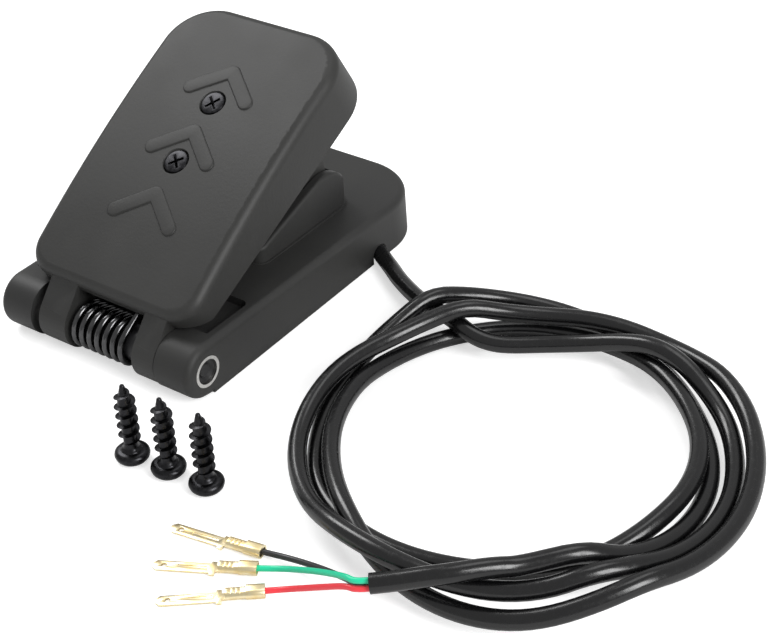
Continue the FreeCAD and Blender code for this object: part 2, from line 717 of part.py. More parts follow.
def make_spring_sleeve():
    sleeve = body("sleeve")
    ring = sketch_on(sleeve, "YZ_Plane", "sleeve_ring", -s.ear_left_start + 0.15)
    circle(ring, 0, s.hinge_height, s.spring_radius - s.wire_radius - s.turn_gap)
    circle(ring, 0, s.hinge_height, s.tube_radius + s.fit_gap)
    pad(ring, s.ear_left_start + s.ear_right_start - 0.3)
    place_on_base(sleeve)
    return finish(sleeve, "spring_sleeve")


def biarc(start, way, end, end_way):
    """Two arcs that join two points and leave and reach them along the given directions."""
    chord = end - start
    both = way + end_way
    share = 2 * (1 - way.dot(end_way))
    if share < 1e-9:
        reach = chord.dot(chord) / (2 * chord.dot(both))
    else:
        reach = (math.sqrt(chord.dot(both) ** 2 + share * chord.dot(chord)) - chord.dot(both)) / share
    first = start + way * reach
    second = end - end_way * reach
    join = (first + second) * 0.5
    return [arc_from(start, first, join), arc_from(join, second, end)]


def arc_from(start, corner, end):
    """The arc that touches start to corner and corner to end."""
    chord = (end - start).Length
    weight = chord / (2 * (corner - start).Length)
    if weight > 1 - 1e-9:
        return Part.LineSegment(start, end).toShape()
    middle = (start + end + corner * (2 * weight)) / (2 + 2 * weight)
    return Part.Arc(start, middle, end).toShape()


def least_gap(edges, radius, apart):
    """The least gap of a tube to itself, between points farther apart than the given way along it."""
    points = []
    run = 0.0
    for edge in edges:
        steps = max(3, int(edge.Length / (radius * 0.8)))
        for step in range(steps):
            fraction = edge.FirstParameter + (edge.LastParameter - edge.FirstParameter) * step / steps
            points.append((run + edge.Length * step / steps, edge.valueAt(fraction)))
        run += edge.Length
    least = 1e9
    for index, (far, point) in enumerate(points):
        for near, other in points[:index]:
            if far - near < apart:
                break
            least = min(least, (point - other).Length)
    return least - 2 * radius


def tube_along(name, edges, radius, wound=False):
    """One unbroken tube along arcs and lines, its volume compared with section times length."""
    path = Part.Wire(edges)
    first = edges[0]
    way = first.tangentAt(first.FirstParameter)
    ring = Part.Wire([Part.Circle(first.valueAt(first.FirstParameter), way, radius).toShape()])
    solid = path.makePipeShell([ring], True, False)
    ideal = math.pi * radius ** 2 * path.Length
    share = solid.Volume / ideal
    print("%s: length %.1f, volume %.4f of section times length" % (name, path.Length, share))
    if wound:
        print("%s: least gap to itself %.2f" % (name, least_gap(edges, radius, radius * 8)))
    return solid


def rounded_route(name, points, share=0.45):
    """Straight runs joined by tangent arcs, each as large as its two runs allow."""
    edges = []
    radii = []
    last = points[0]
    for before, corner, after in zip(points, points[1:], points[2:]):
        back = (before - corner).normalize()
        ahead = (after - corner).normalize()
        half_turn = (math.pi - back.getAngle(ahead)) / 2
        reach = share * min((before - corner).Length, (after - corner).Length)
        radii.append(reach / math.tan(half_turn))
        start = corner + back * reach
        if (start - last).Length > 1e-6:
            edges.append(Part.LineSegment(last, start).toShape())
        last = corner + ahead * reach
        edges.append(arc_from(start, corner, last))
    edges.append(Part.LineSegment(last, points[-1]).toShape())
    print("%s: radii %s" % (name, " ".join("%.0f" % radius for radius in radii)))
    return edges


def shaped(label, shape):
    """A sub-part whose shape is set here, from the sheet's values."""
    item = doc.addObject("Part::Feature", label)
    item.Shape = shape
    place_on_base(item)
    return finish(item, label)


def make_return_spring():
    radius = s.spring_radius.number
    height = s.hinge_height.number

    def on_coil(angle):
        """Point and direction on the coil at an angle turned since the lower leg."""
        place = math.radians(s.leg_slope.number - 90 - angle)
        advance = s.spring_pitch.number * angle / 360
        across = s.spring_start.number + advance
        point = Vector(across, radius * math.cos(place), height + radius * math.sin(place))
        climb = s.spring_pitch.number / math.radians(360)
        way = Vector(climb, radius * math.sin(place), -radius * math.cos(place)).normalize()
        return point, way

    turn = 6 * 360 + (s.leg_slope.number - 90) - (s.rest_tilt.number + 90) + 360
    steps = 26
    places = [on_coil(turn * step / steps) for step in range(steps + 1)]
    for index in (0, -1):
        point, way = places[index]
        places[index] = (point, Vector(0, way.y, way.z).normalize())
    edges = []
    for (start, way), (end, end_way) in zip(places, places[1:]):
        edges += biarc(start, way, end, end_way)
    first, first_way = places[0]
    last, last_way = places[-1]
    lower = Part.LineSegment(first - first_way * s.leg_length.number, first).toShape()
    upper = Part.LineSegment(last, last + last_way * s.arm_leg_length.number).toShape()
    edges = [lower] + edges + [upper]
    shaped("return_spring", tube_along("return_spring", edges, s.wire_radius.number, True))
    return last


def crown_at(y):
    """Height of the tread's crown over a place along the pedal."""
    away = y - s.crown_middle
    return s.pedal_top - s.crown_radius + root(s.crown_radius * s.crown_radius - away * away)


def make_pedal_plate():
    tread = body("tread")
    half = s.pedal_width / 2
    plan = sketch_on(tread, "XY_Plane", "tread_plan", -5)
    heel = s.pedal_heel_corner
    toe = s.toe_corner
    rectangle(plan, -half, half, s.pedal_start, s.pedal_end, (heel, heel, toe, toe))
    block = pad(plan, s.pedal_top + 7)
    block.TaperAngle = -s.pedal_draft.number
    bind(block, "TaperAngle", -s.pedal_draft)
    above = sketch_on(tread, "YZ_Plane", "above_crown")
    outline(above, [(0, crown_at(Size(0))), (s.pedal_end + 5, crown_at(s.pedal_end + 5)),
                    (s.pedal_end + 5, 2 * s.pedal_top), (0, 2 * s.pedal_top)], {0: (s.crown_radius, -1)})
    crowned = pocket(above, None, centred=True)

    def crown_edge(edge):
        point = edge.valueAt((edge.FirstParameter + edge.LastParameter) / 2)
        return point.z > 10
    rounded(tread, "tread_edge", crowned, s.tread_round, crown_edge)

    below = sketch_on(tread, "YZ_Plane", "below_skirt")
    outline(below, [
        (0, -9), (s.pedal_end + 5, -9), (s.pedal_end + 5, 2), (s.pedal_end, 2), (s.pedal_end - 5, -2.9),
        (70, -1.8), (11.4, 3.4), (s.pedal_start, s.heel_lip), (0, s.heel_lip)], {3: (5, -1)})
    pocket(below, None, centred=True)

    hollow = sketch_on(tread, "XY_Plane", "tread_hollow", -9)
    rectangle(hollow, -half + s.wall + 0.3, half - s.wall - 0.3, s.pedal_start + s.wall,
              s.pedal_end - s.wall - 0.3, (heel - s.wall, heel - s.wall, toe - s.wall, toe - s.wall))
    pocket(hollow, crown_at(s.pedal_start) - s.tread_wall + 9, backward=True)
    leg_top = s.spring_radius + s.wire_radius + s.fit_gap
    notch = sketch_on(tread, "YZ_Plane", "spring_notch", spring_end_x())
    behind_wall = s.pedal_start + s.wall + 1
    outline(notch, [(0, 0), (behind_wall, 0), (behind_wall, leg_top + 0.2), (0, leg_top + 0.2)])
    pocket(notch, 2 * s.wire_radius + 0.6, centred=True)
    vault = sketch_on(tread, "YZ_Plane", "tread_vault")
    under = s.crown_radius - s.tread_wall
    vault_start = s.pedal_start + 9
    vault_end = s.pedal_end - 9
    outline(vault, [(vault_start, 0), (vault_end, 0), (vault_end, crown_at(vault_end) - s.tread_wall),
                    (vault_start, crown_at(vault_start) - s.tread_wall)], {2: (under, 1)})
    pocket(vault, s.pedal_width - 14, centred=True)

    boss_pad = sketch_on(tread, "XY_Plane", "screw_bosses", s.boss_foot)
    holes = sketch_on(tread, "XY_Plane", "screw_holes")
    seats = sketch_on(tread, "XY_Plane", "screw_seats", s.screw_seat)
    for y in (s.screw_first, s.screw_second):
        circle(boss_pad, 0, y, s.counterbore + 1.4)
        circle(holes, 0, y, 1.7)
        circle(seats, 0, y, s.counterbore)
    pad(boss_pad, s.pedal_top - s.boss_foot - 1)
    pocket(seats, s.pedal_top, backward=True)
    pocket(holes, None, centred=True)

    ribs = sketch_on(tread, "XY_Plane", "tread_ribs", s.boss_foot - 0.7)
    for side in (-1, 1):
        ends = (20.8, 22.2) if side == 1 else (-22.2, -20.8)
        rectangle(ribs, ends[0], ends[1], s.pedal_start + 6, s.pedal_end - 12)
    for y in (30, 52, 74):
        rectangle(ribs, -half + 2, -20.9, y - 0.7, y + 0.7)
        rectangle(ribs, 20.9, half - 2, y - 0.7, y + 0.7)
    pad(ribs, 2.4)
    spring_rib = sketch_on(tread, "YZ_Plane", "spring_seat", spring_end_x())
    rib_start = s.pedal_start + 6
    rib_end = s.pedal_start + 26
    outline(spring_rib, [(rib_start, leg_top), (rib_end - 2, leg_top), (rib_end, leg_top + 3),
                         (rib_end, 11.4), (rib_start, 11)])
    pad(spring_rib, 2.4, centred=True)

    make_ears(tread)
    chevrons = make_chevrons()
    whole = doc.addObject("Part::MultiFuse", "pedal")
    whole.Shapes = [tread, chevrons]
    place_on_pedal(whole)
    return finish(whole, "pedal_plate")


def spring_end_x():
    """Where the spring's upper leg lies, from the middle."""
    turns = 7 - (s.rest_tilt + 180 - s.leg_slope) / 360
    return s.spring_start + s.spring_pitch * turns


def make_ears(tread):
    """The two hub ears that turn on the hinge tube, each with its rest stop."""
    front = (Size(6.0), Size(9.5))
    back = (Size(11.5), Size(10.0))
    front_touch = tangent_point(s.ear_radius, front, 1)
    back_touch = tangent_point(s.ear_radius, back, -1)
    wall_face = s.heel_gap - s.stop_gap
    high = (wall_face * cosine(s.rest_tilt) - 1.5 * sine(s.rest_tilt),
            -1.5 * cosine(s.rest_tilt) - wall_face * sine(s.rest_tilt))
    low = (wall_face * cosine(s.rest_tilt) - 4.0 * sine(s.rest_tilt),
           -4.0 * cosine(s.rest_tilt) - wall_face * sine(s.rest_tilt))
    under_stop = polar(s.ear_radius, Size(-75))
    low_front = polar(s.ear_radius, Size(-170))
    ears = (("right", s.ear_right_start, barrel_inner - s.ear_side_gap),
            ("left", -s.ear_left_end, -s.ear_left_start))
    for name, start, end in ears:
        ear = sketch_on(tread, "YZ_Plane", name + "_ear", start)
        outline(ear, [front_touch, low_front, under_stop, low, high, back_touch, back, front],
                {0: (s.ear_radius, 1), 1: (s.ear_radius, 1)})
        pad(ear, end - start)
    bores = sketch_on(tread, "YZ_Plane", "ear_bores")
    circle(bores, 0, 0, s.tube_radius + s.turn_gap)
    pocket(bores, None, centred=True)


def make_chevrons():
    """Raised chevrons: their prisms meet a slab that follows the crown a little above the tread."""
    prisms = body("chevron_prisms")
    plan = sketch_on(prisms, "XY_Plane", "chevron_plan", s.pedal_top - 2)
    length = root(s.chevron_reach * s.chevron_reach + s.chevron_sweep * s.chevron_sweep)
    inward_x = s.chevron_width * s.chevron_sweep / length
    inward_y = s.chevron_width * s.chevron_reach / length
    depth = s.chevron_width * length / s.chevron_reach
    for index in range(3):
        point = s.chevron_first + index * s.chevron_pitch
        tip = point - s.chevron_sweep
        inner = s.chevron_reach - inward_x
        outline(plan, [(0, point), (-s.chevron_reach, tip), (-inner, tip - inward_y),
                       (0, point - depth), (inner, tip - inward_y), (s.chevron_reach, tip)])
    pad(plan, 10)
    slab = body("chevron_slab")
    side = sketch_on(slab, "YZ_Plane", "slab_side")
    start = s.chevron_first - 20
    end = s.pedal_end - 8
    rise = s.chevron_rise
    outline(side, [(start, crown_at(start) + rise), (end, crown_at(end) + rise), (end, 9), (start, 9)],
            {0: (s.crown_radius + rise, -1)})
    pad(side, 4 * s.chevron_reach, centred=True)
    common = doc.addObject("Part::MultiCommon", "chevrons")
    common.Shapes = [prisms, slab]
    return common


def make_magnet_arm():
    arm = body("arm")
    side = sketch_on(arm, "YZ_Plane", "arm_side")
    low = s.arm_plate_low
    top = low + s.arm_plate
    inner_top = root(s.arm_inner * s.arm_inner - low * low)
    outer_top = root(s.arm_outer * s.arm_outer - top * top)
    inner_low = polar(s.arm_inner, -s.arm_reach)
    outer_low = polar(s.arm_outer, -s.arm_reach)
    outline(side, [(s.arm_plate_start, low), (inner_top, low), inner_low, outer_low, (outer_top, top),
                   (s.arm_plate_start, top)],
            {1: (s.arm_inner, -1), 3: (s.arm_outer, 1)})
    pad(side, s.arm_width, centred=True)
    skin = Size(2.2)
    cheek = Size(2.0)
    block_half = Size(5.0)
    core_outer = s.arm_outer - skin
    for direction, name in ((-1, "left_core"), (1, "right_core")):
        core = sketch_on(arm, "YZ_Plane", name, direction * block_half)
        core_inner = s.arm_inner - 2
        deep = polar(core_outer, 2 - s.arm_reach)
        near = polar(core_inner, 2 - s.arm_reach)
        outline(core, [(root(core_inner * core_inner - 16), 4), near, deep,
                       (root(core_outer * core_outer - 16), 4)],
                {0: (core_inner, -1), 2: (core_outer, 1)})
        pocket(core, s.arm_width / 2 - cheek - block_half, backward=direction == 1)
    bosses = sketch_on(arm, "XY_Plane", "arm_bosses", top - 0.2)
    pilots = sketch_on(arm, "XY_Plane", "arm_pilots", s.boss_foot)
    for y in (s.screw_first, s.screw_second):
        circle(bosses, 0, y, 3.8)
        circle(pilots, 0, y, 1.25)
    pad(bosses, s.boss_foot - top + 0.2 - s.fit_gap)
    pocket(pilots, s.boss_foot - low - 0.3)
    for name, angle in (("lower_seat", magnet_angles()[0]), ("upper_seat", magnet_angles()[1])):
        seat = sketch_on(arm, "XZ_Plane", name)
        turn = FreeCAD.Rotation(Vector(1, 0, 0), angle.number)
        seat.AttachmentOffset = FreeCAD.Placement(Vector(0, 0, 0), turn)
        bind(seat, "AttachmentOffset.Rotation.Angle", angle)
        circle(seat, 0, 0, s.magnet_radius + s.fit_gap)
        pocket(seat, s.arm_inner + s.magnet_depth + s.fit_gap)
    place_on_pedal(arm)
    return finish(arm, "magnet_arm")


def magnet_angles():
    """The two magnets, from the line of the pedal, about the hinge line."""
    return 3.4 - s.arm_reach, 18.4 - s.arm_reach


def make_magnets():
    for label, angle in zip(("magnet_lower", "magnet_upper"), magnet_angles()):
        disc = doc.addObject("Part::Cylinder", label + "_disc")
        disc.Radius = s.magnet_radius.number
        bind(disc, "Radius", s.magnet_radius)
        bind(disc, "Height", s.magnet_depth)
        disc.Placement = tipped(-60)
        bind(disc, "Placement.Rotation.Angle", s.rest_tilt + angle - 90)
        across, up = polar(s.arm_inner, angle + s.rest_tilt)
        place_on_base(disc, 0, across, up + s.hinge_height)
        finish(disc, label)


def make_pedal_screws():
    screws = []
    for index, y in enumerate((s.screw_first, s.screw_second)):
        screw = body("pedal_screw_%d" % index)
        seat = s.screw_seat
        turned(screw, "pedal_screw_side_%d" % index, [
            (0, s.arm_plate_low + 0.6), (1.2, s.arm_plate_low + 1.2), (1.2, seat), (3.1, seat + s.fit_gap),
            (3.1, seat + 0.9), (1.9, seat + 1.75), (0, seat + 1.75)], {4: (1.6, 1)})
        bind(screw, "Placement.Base.y", y)
        screws.append(screw)
    place_on_pedal(group("pedal_screws", screws))


def make_sensor():
    back = s.slot_start - 2.5
    board = doc.addObject("Part::Box", "board")
    bind(board, "Length", s.board_width)
    bind(board, "Width", s.board_thickness)
    bind(board, "Height", s.board_top - s.cover_thickness - 0.3)
    place_on_base(board, -s.board_width / 2, back - s.board_thickness, s.cover_thickness + 0.3)
    finish(board, "sensor_board")
    sensor = doc.addObject("Part::Box", "sensor")
    bind(sensor, "Length", 4.1)
    bind(sensor, "Width", 0.85)
    bind(sensor, "Height", 3.2)
    place_on_base(sensor, -2.05, back + 0.02, 13.2)
    finish(sensor, "hall_sensor")
    parts = []
    chips = (("capacitor", -8, 9, 2.0, 1.3, 1.2), ("resistor", 5, 9, 2.0, 1.3, 0.6),
             ("regulator", -2, 5, 3.0, 3.0, 1.3))
    for name, x, z, width, height, depth in chips:
        chip = doc.addObject("Part::Box", name)
        bind(chip, "Length", width)
        bind(chip, "Width", depth)
        bind(chip, "Height", height)
        bind(chip, "Placement.Base.x", x)
        bind(chip, "Placement.Base.y", back - s.board_thickness - depth - 0.02)
        bind(chip, "Placement.Base.z", z)
        parts.append(chip)
    place_on_base(group("board_components", parts))


def make_stop_pads():
    pads = []
    rise = sine(s.collar_slope) / cosine(s.collar_slope)
    for index, side in enumerate((-1, 1)):
        disc = doc.addObject("Part::Cylinder", "stop_pad_%d" % index)
        bind(disc, "Radius", 2.2)
        bind(disc, "Height", s.pad_height)
        disc.Placement = tipped(s.collar_slope.number)
        bind(disc, "Placement.Rotation.Angle", s.collar_slope)
        bind(disc, "Placement.Base.x", side * 12.0)
        bind(disc, "Placement.Base.y", s.slot_start - 3.4)
        bind(disc, "Placement.Base.z", s.collar_low + (s.slot_start - 3.4 - s.collar_start) * rise + 0.02)
        pads.append(disc)
    place_on_base(group("stop_pads", pads))


def make_cable_entry():
    """The end of the cable inside the base: it rises from the floor to its clamp."""
    x, y = along_exit(Size(0))
    exit_point = Vector(x.number, y.number, s.cord_lie.number)
    inward = Vector(-exit_cos.number, exit_sin.number, 0)
    lift = Vector(0, 0, s.clamp_lie.number - s.cord_lie.number)
    points = [exit_point, exit_point + inward * 5.5, exit_point + inward * 11.5 + lift,
              exit_point + inward * entry_length.number + lift]
    edges = rounded_route("cable_entry", points)
    shaped("cable_entry", tube_along("cable_entry", edges, s.cord_radius.number))
    bar = body("bar")
    top = s.clamp_lie - s.cord_radius - s.fit_gap
    plan = sketch_on(bar, "XY_Plane", "bar_plan", top - 1.1)
    outline(plan, [along_exit(clamp_inset + ahead, aside)
                   for ahead, aside in ((-2.3, -7.4), (-2.3, 7.4), (2.3, 7.4), (2.3, -7.4))])
    pad(plan, 1.1)
    holes = sketch_on(bar, "XY_Plane", "bar_holes")
    sunk = sketch_on(bar, "XY_Plane", "bar_recesses")
    screws = []
    for index, aside in enumerate((-5.6, 5.6)):
        x, y = along_exit(clamp_inset, aside)
        circle(holes, x, y, 0.9)
        circle(sunk, x, y, 1.75)
        screw = body("clamp_screw_%d" % index)
        turned(screw, "clamp_screw_side_%d" % index, [
            (0, 0.05), (1.4, 0.05), (1.6, 0.3), (1.6, 0.5), (0.76, 0.5), (0.76, 5.2), (0, 5.8)])
        bind(screw, "Placement.Base.x", x)
        bind(screw, "Placement.Base.y", y)
        bind(screw, "Placement.Base.z", top - 1.1)
        screws.append(screw)
    pocket(holes, None, centred=True)
    pocket(sunk, top - 1.1 + 0.55, backward=True)
    place_on_base(bar)
    finish(bar, "cable_clamp")
    place_on_base(group("clamp_screws", screws))


def make_board_leads():
    """Three cores from the cable's end, round the slot to the sensor board."""
    start = Vector(*[place.number for place in along_exit(entry_length + s.fit_gap)])
    inward = Vector(-exit_cos.number, exit_sin.number, 0)
    board_back = (s.slot_start - s.slot_wall - 1.0 - s.board_thickness).number
    toe_side = (s.slot_end + s.slot_wall).number + 2
    heel_side = (s.cross_wall + s.wall).number + 2.5
    past_boss = -(s.bolt_circle / 2 * cosine(Size(30)) + s.mount_boss).number - 2.2
    solids = []
    for index in range(3):
        shift = (index - 1) * 1.5
        height = Vector(0, 0, s.clamp_lie.number + shift)
        plan = [start, start + inward * 2.6, Vector(7, toe_side + 2.6), Vector(-3, toe_side),
                Vector(past_boss + 2.4, toe_side), Vector(past_boss, toe_side - 12),
                Vector(past_boss, toe_side - 21),
                Vector(-15, heel_side), Vector(-9 + shift, heel_side + 1.5),
                Vector(-7 + shift, board_back - 4), Vector(-7 + shift, board_back - s.fit_gap.number)]
        points = [place + height for place in plan]
        edges = rounded_route("board_lead_%d" % index, points)
        solids.append(tube_along("board_lead_%d" % index, edges, 0.6))
    shaped("board_leads", Part.makeCompound(solids))


def from_exit(x, y, z=0):
    """A point beside the cable's exit in the wall."""
    return Vector(half_width.number + x, exit_place.number + y, z)


def coil_place(turn):
    """Plan point and heading of the coil: 1 is the first turn's far side, and each quarter is a reach."""
    quarter = int((turn - 1) * 4 + 1e-9)
    quarter = min(quarter, len(COIL_REACHES) - 2)
    through = math.radians(90 * ((turn - 1) * 4 - quarter))
    heading = math.radians(COIL_TURN + 90 - 90 * quarter)
    ahead = heading - math.radians(90)
    start = Vector(math.cos(heading), math.sin(heading), 0) * COIL_REACHES[quarter]
    side = Vector(math.cos(ahead), math.sin(ahead), 0) * COIL_REACHES[quarter + 1]
    middle = from_exit(*COIL_MIDDLE)
    place = middle + start * math.cos(through) + side * math.sin(through)
    way = side * math.cos(through) - start * math.sin(through)
    return place, way.normalize()


def lies_over(later, earlier):
    """Whether the later strand of the coil lies over the earlier one where they cross."""
    if earlier < 0.96:
        return later < 2.2 or later > 3.9
    if 2.1 < later < 2.45 and earlier < 1.45:
        return True
    return later > 4.46


def coil_samples():
    """Plan points of the cable, from the lead's start to its free end, with the turn each belongs to."""
    turns = 1 + (len(COIL_REACHES) - 1) / 4
    points = []
    start = coil_place(1)[0]
    lead = [from_exit(0, 0)] + [from_exit(x, y) for x, y in LEAD_ROUTE] + [start]
    for near, far in zip(lead, lead[1:]):
        steps = max(1, round((far - near).Length / 2.5))
        points += [(near + (far - near) * (step / steps), 0.9) for step in range(steps)]
    first = len(points)
    count = round((turns - 1) * 96)
    points += [(coil_place(1 + step / 96)[0], 1 + step / 96) for step in range(count)]
    tail = [coil_place(turns)[0]] + [from_exit(x, y) for x, y in FREE_END_ROUTE]
    last = len(points)
    for near, far in zip(tail, tail[1:]):
        steps = max(1, round((far - near).Length / 2.5))
        points += [(near + (far - near) * (step / steps), turns + 0.01) for step in range(steps)]
    points.append((tail[-1], turns + 0.1))
    return points, first, last


def laid_heights(points):
    """Lets every strand rest on the strands that it crosses, and smooths the way over them."""
    floor = s.cord_lie.number
    need = 2 * s.cord_radius.number + s.strand_gap.number
    pairs = []
    for index, (place, turn) in enumerate(points):
        for other in range(index - 10):
            away = (place - points[other][0]).Length
            if away < need:
                rise = math.sqrt(need * need - away * away)
                over = lies_over(turn, points[other][1])
                pairs.append((index, other, rise) if over else (other, index, rise))
    heights = [floor] * len(points)
    for _ in range(1500):
        pulled = [floor + (height - floor) * 0.992 for height in heights]
        heights = [pulled[0]] + [0.25 * a + 0.5 * b + 0.25 * c
                                 for a, b, c in zip(pulled, pulled[1:], pulled[2:])] + [pulled[-2]]
        for upper, lower, rise in pairs:
            if heights[upper] < heights[lower] + rise:
                heights[upper] = heights[lower] + rise
    return heights


def make_cable():
    """The cable from the base's wall to its free end, its loose coil laid strand over strand."""
    points, first, last = coil_samples()
    heights = laid_heights(points)
    laid = [place + Vector(0, 0, height) for (place, _), height in zip(points, heights)]
    marks = [0] + list(range(2 * LEAD_STEP, first, LEAD_STEP)) + list(range(first, last, NODE_STEP))
    marks += list(range(last + LEAD_STEP, len(points) - LEAD_STEP, LEAD_STEP)) + [len(points) - 1]
    nodes = []
    for mark in marks:
        before = laid[max(mark - 1, 0)]
        after = laid[min(mark + 1, len(points) - 1)]
        if first < mark < last:
            way = coil_place(points[mark][1])[1]
            slope = (after.z - before.z) / Vector(after.x - before.x, after.y - before.y, 0).Length
            nodes.append((laid[mark], (way + Vector(0, 0, slope)).normalize()))
        else:
            before = laid[max(mark - 2, 0)]
            after = laid[min(mark + 2, len(points) - 1)]
            nodes.append((laid[mark], (after - before).normalize()))
    nodes[0] = (nodes[0][0], Vector(exit_cos.number, -exit_sin.number, 0))
    straight = 2 * s.cord_radius.number
    begin, begin_way = nodes[0]
    end, end_way = nodes[-1]
    nodes[0] = (begin + begin_way * straight, begin_way)
    edges = [Part.LineSegment(begin, nodes[0][0]).toShape()]
    for (start, way), (stop, stop_way) in zip(nodes, nodes[1:]):
        edges += biarc(start, way, stop, stop_way)
    edges.append(Part.LineSegment(end, end + end_way * straight).toShape())
    shaped("cable", tube_along("cable", edges, s.cord_radius.number, True))
    return end + end_way * straight, end_way


def make_cores(end, way):
    """Three coloured cores from the sheath's end, each crimped into a tab terminal on the floor."""
    side = Vector(-way.y, way.x, 0).normalize()
    up = way.cross(side)
    radius = s.core_radius.number
    out = 0.43 * s.cord_radius.number
    low = up * (-0.5 * out)
    spread = {"black": low - side * (0.9 * out), "green": up * out, "red": low + side * (0.9 * out)}
    for colour, bends, (x, y), heading in CORES:
        forward = Vector(math.cos(math.radians(heading)), math.sin(math.radians(heading)), 0)
        mouth = from_exit(x, y, s.barrel_lie.number)
        points = [end + spread[colour], end + spread[colour] + way * 3]
        points += [from_exit(*bend) for bend in bends]
        points += [mouth, mouth + forward * (s.grip_length.number - 0.2)]
        edges = rounded_route("core_" + colour, points)
        shaped("wire_" + colour, tube_along("wire_" + colour, edges, radius))
        make_terminal("terminal_" + colour, half_width + x, exit_place + y, heading)


def make_terminal(label, x, y, heading):
    """A stamped tab: blade with a hole, bevelled tip and stiffening groove, stop wings and two crimps."""
    tab = body(label + "_body")
    half = s.tab_width / 2
    tip = s.terminal_length
    wings = tip - s.blade_length
    back = s.grip_length + s.crimp_length
    low = s.barrel_lie - s.core_radius - s.fit_gap - s.tab_thickness
    neck = 0.9
    wing_out = half + 0.6
    bevel = 0.9
    plan = sketch_on(tab, "XY_Plane", label + "_plan", low)
    right_rim = [
        (back - 0.3, -neck), (wings - 1.1, -neck), (wings - 1.1, -wing_out), (wings, -wing_out),
        (wings, -half), (tip - bevel, -half), (tip, -half + bevel)]
    outline(plan, right_rim + [(along, -across) for along, across in reversed(right_rim)])
    pad(plan, s.tab_thickness)
    hole = sketch_on(tab, "XY_Plane", label + "_hole")
    circle(hole, tip - 2.6, 0, 0.65)
    pocket(hole, None, centred=True)
    groove = sketch_on(tab, "XY_Plane", label + "_groove", low + s.tab_thickness - 0.15)
    rectangle(groove, wings + 0.8, wings + 7.2, -0.4, 0.4)
    pocket(groove, 1, backward=True)
    hollow = s.core_radius + s.fit_gap
    high = s.barrel_lie + hollow + s.tab_thickness
    grip = sketch_on(tab, "YZ_Plane", label + "_grip")
    oval(grip, s.grip_width / 2, low, high)
    oval(grip, s.grip_width / 2 - s.tab_thickness, low + s.tab_thickness, high - s.tab_thickness)
    pad(grip, s.grip_length)
    crimp = sketch_on(tab, "YZ_Plane", label + "_crimp", s.grip_length)
    crimp_top = high - 0.35
    oval(crimp, s.crimp_width / 2, low, crimp_top)
    pad(crimp, s.crimp_length)
    bands = sketch_on(tab, "XY_Plane", label + "_bands", crimp_top - 0.15)
    for place in (1.1, 2.1, 3.1):
        rectangle(bands, s.grip_length + place, s.grip_length + place + 0.35, -half, half)
    pocket(bands, 1, backward=True)
    tab.Placement = FreeCAD.Placement(Vector(0, 0, 0), FreeCAD.Rotation(Vector(0, 0, 1), heading))
    place_on_base(tab, x, y, 0)
    finish(tab, label)


def oval(sketch, half, low, high):
    """A flattened ring's outline, its two sides rounded over nearly their whole height."""
    radius = (high - low) * 0.49
    rectangle(sketch, -half, half, low, high, (radius, radius, radius, radius))


def make_mounting_screws():
    """The three screws that come with the pedal, stood on their heads on the floor."""
    screws = []
    head = s.mounting_head
    shank = s.mounting_shank
    high = s.mounting_height
    for index, (x, y) in enumerate(MOUNTING_SCREW_PLACES):
        screw = body("mounting_screw_%d" % index)
        turned(screw, "mounting_screw_side_%d" % index, [
            (0, 0), (head - 1.4, 0), (head, 1.4), (head, 2.2), (head - 0.9, 3.0), (shank + 0.9, 3.2),
            (shank + 0.7, 4.2), (shank, 4.8), (shank, high - 4.5), (0.35, high), (0, high)],
            {1: (1.4, 1), 3: (0.95, 1)})
        bind(screw, "Placement.Base.x", x)
        bind(screw, "Placement.Base.y", y)
        screws.append(screw)
    place_on_base(group("mounting_screws", screws))


def check_and_write():
    doc.recompute()
    for item in doc.Objects:
        if "Invalid" in item.State or "Error" in item.State:
            raise RuntimeError("%s failed: %s" % (item.Name, item.State))
    for item in NODES:
        if item.Shape.isNull() or not item.Shape.isValid():
            raise RuntimeError("%s has no valid shape" % item.Label)
    os.makedirs("parts", exist_ok=True)
    for item in NODES:
        item.Shape.exportStep("parts/%s.step" % item.Label)
        box = item.Shape.BoundBox
        print("%-18s solids %2d  volume %9.1f  x %7.1f %7.1f  y %7.1f %7.1f  z %6.1f %6.1f" % (
            item.Label, len(item.Shape.Solids), item.Shape.Volume,
            box.XMin, box.XMax, box.YMin, box.YMax, box.ZMin, box.ZMax))


make_base_housing()
make_bottom_cover()
make_cover_screws()
make_hinge_tube()
make_tube_plugs()
make_spring_sleeve()
make_return_spring()
make_pedal_plate()
make_magnet_arm()
make_magnets()
make_pedal_screws()
make_sensor()
make_stop_pads()
make_cable_entry()
make_board_leads()
make_cores(*make_cable())
make_mounting_screws()
check_and_write()
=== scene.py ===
"""Looks of the foot throttle pedal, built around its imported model.

Blender's lengths are metres in the part's frame: x along the hinge, y to the toe, z up from the floor,
origin in the middle of the mounting holes. The named sizes of the pieces are millimetres, and their
places are counted from the hinge line.
"""
import json
import math

import bmesh
import bpy
from mathutils import Matrix, Vector


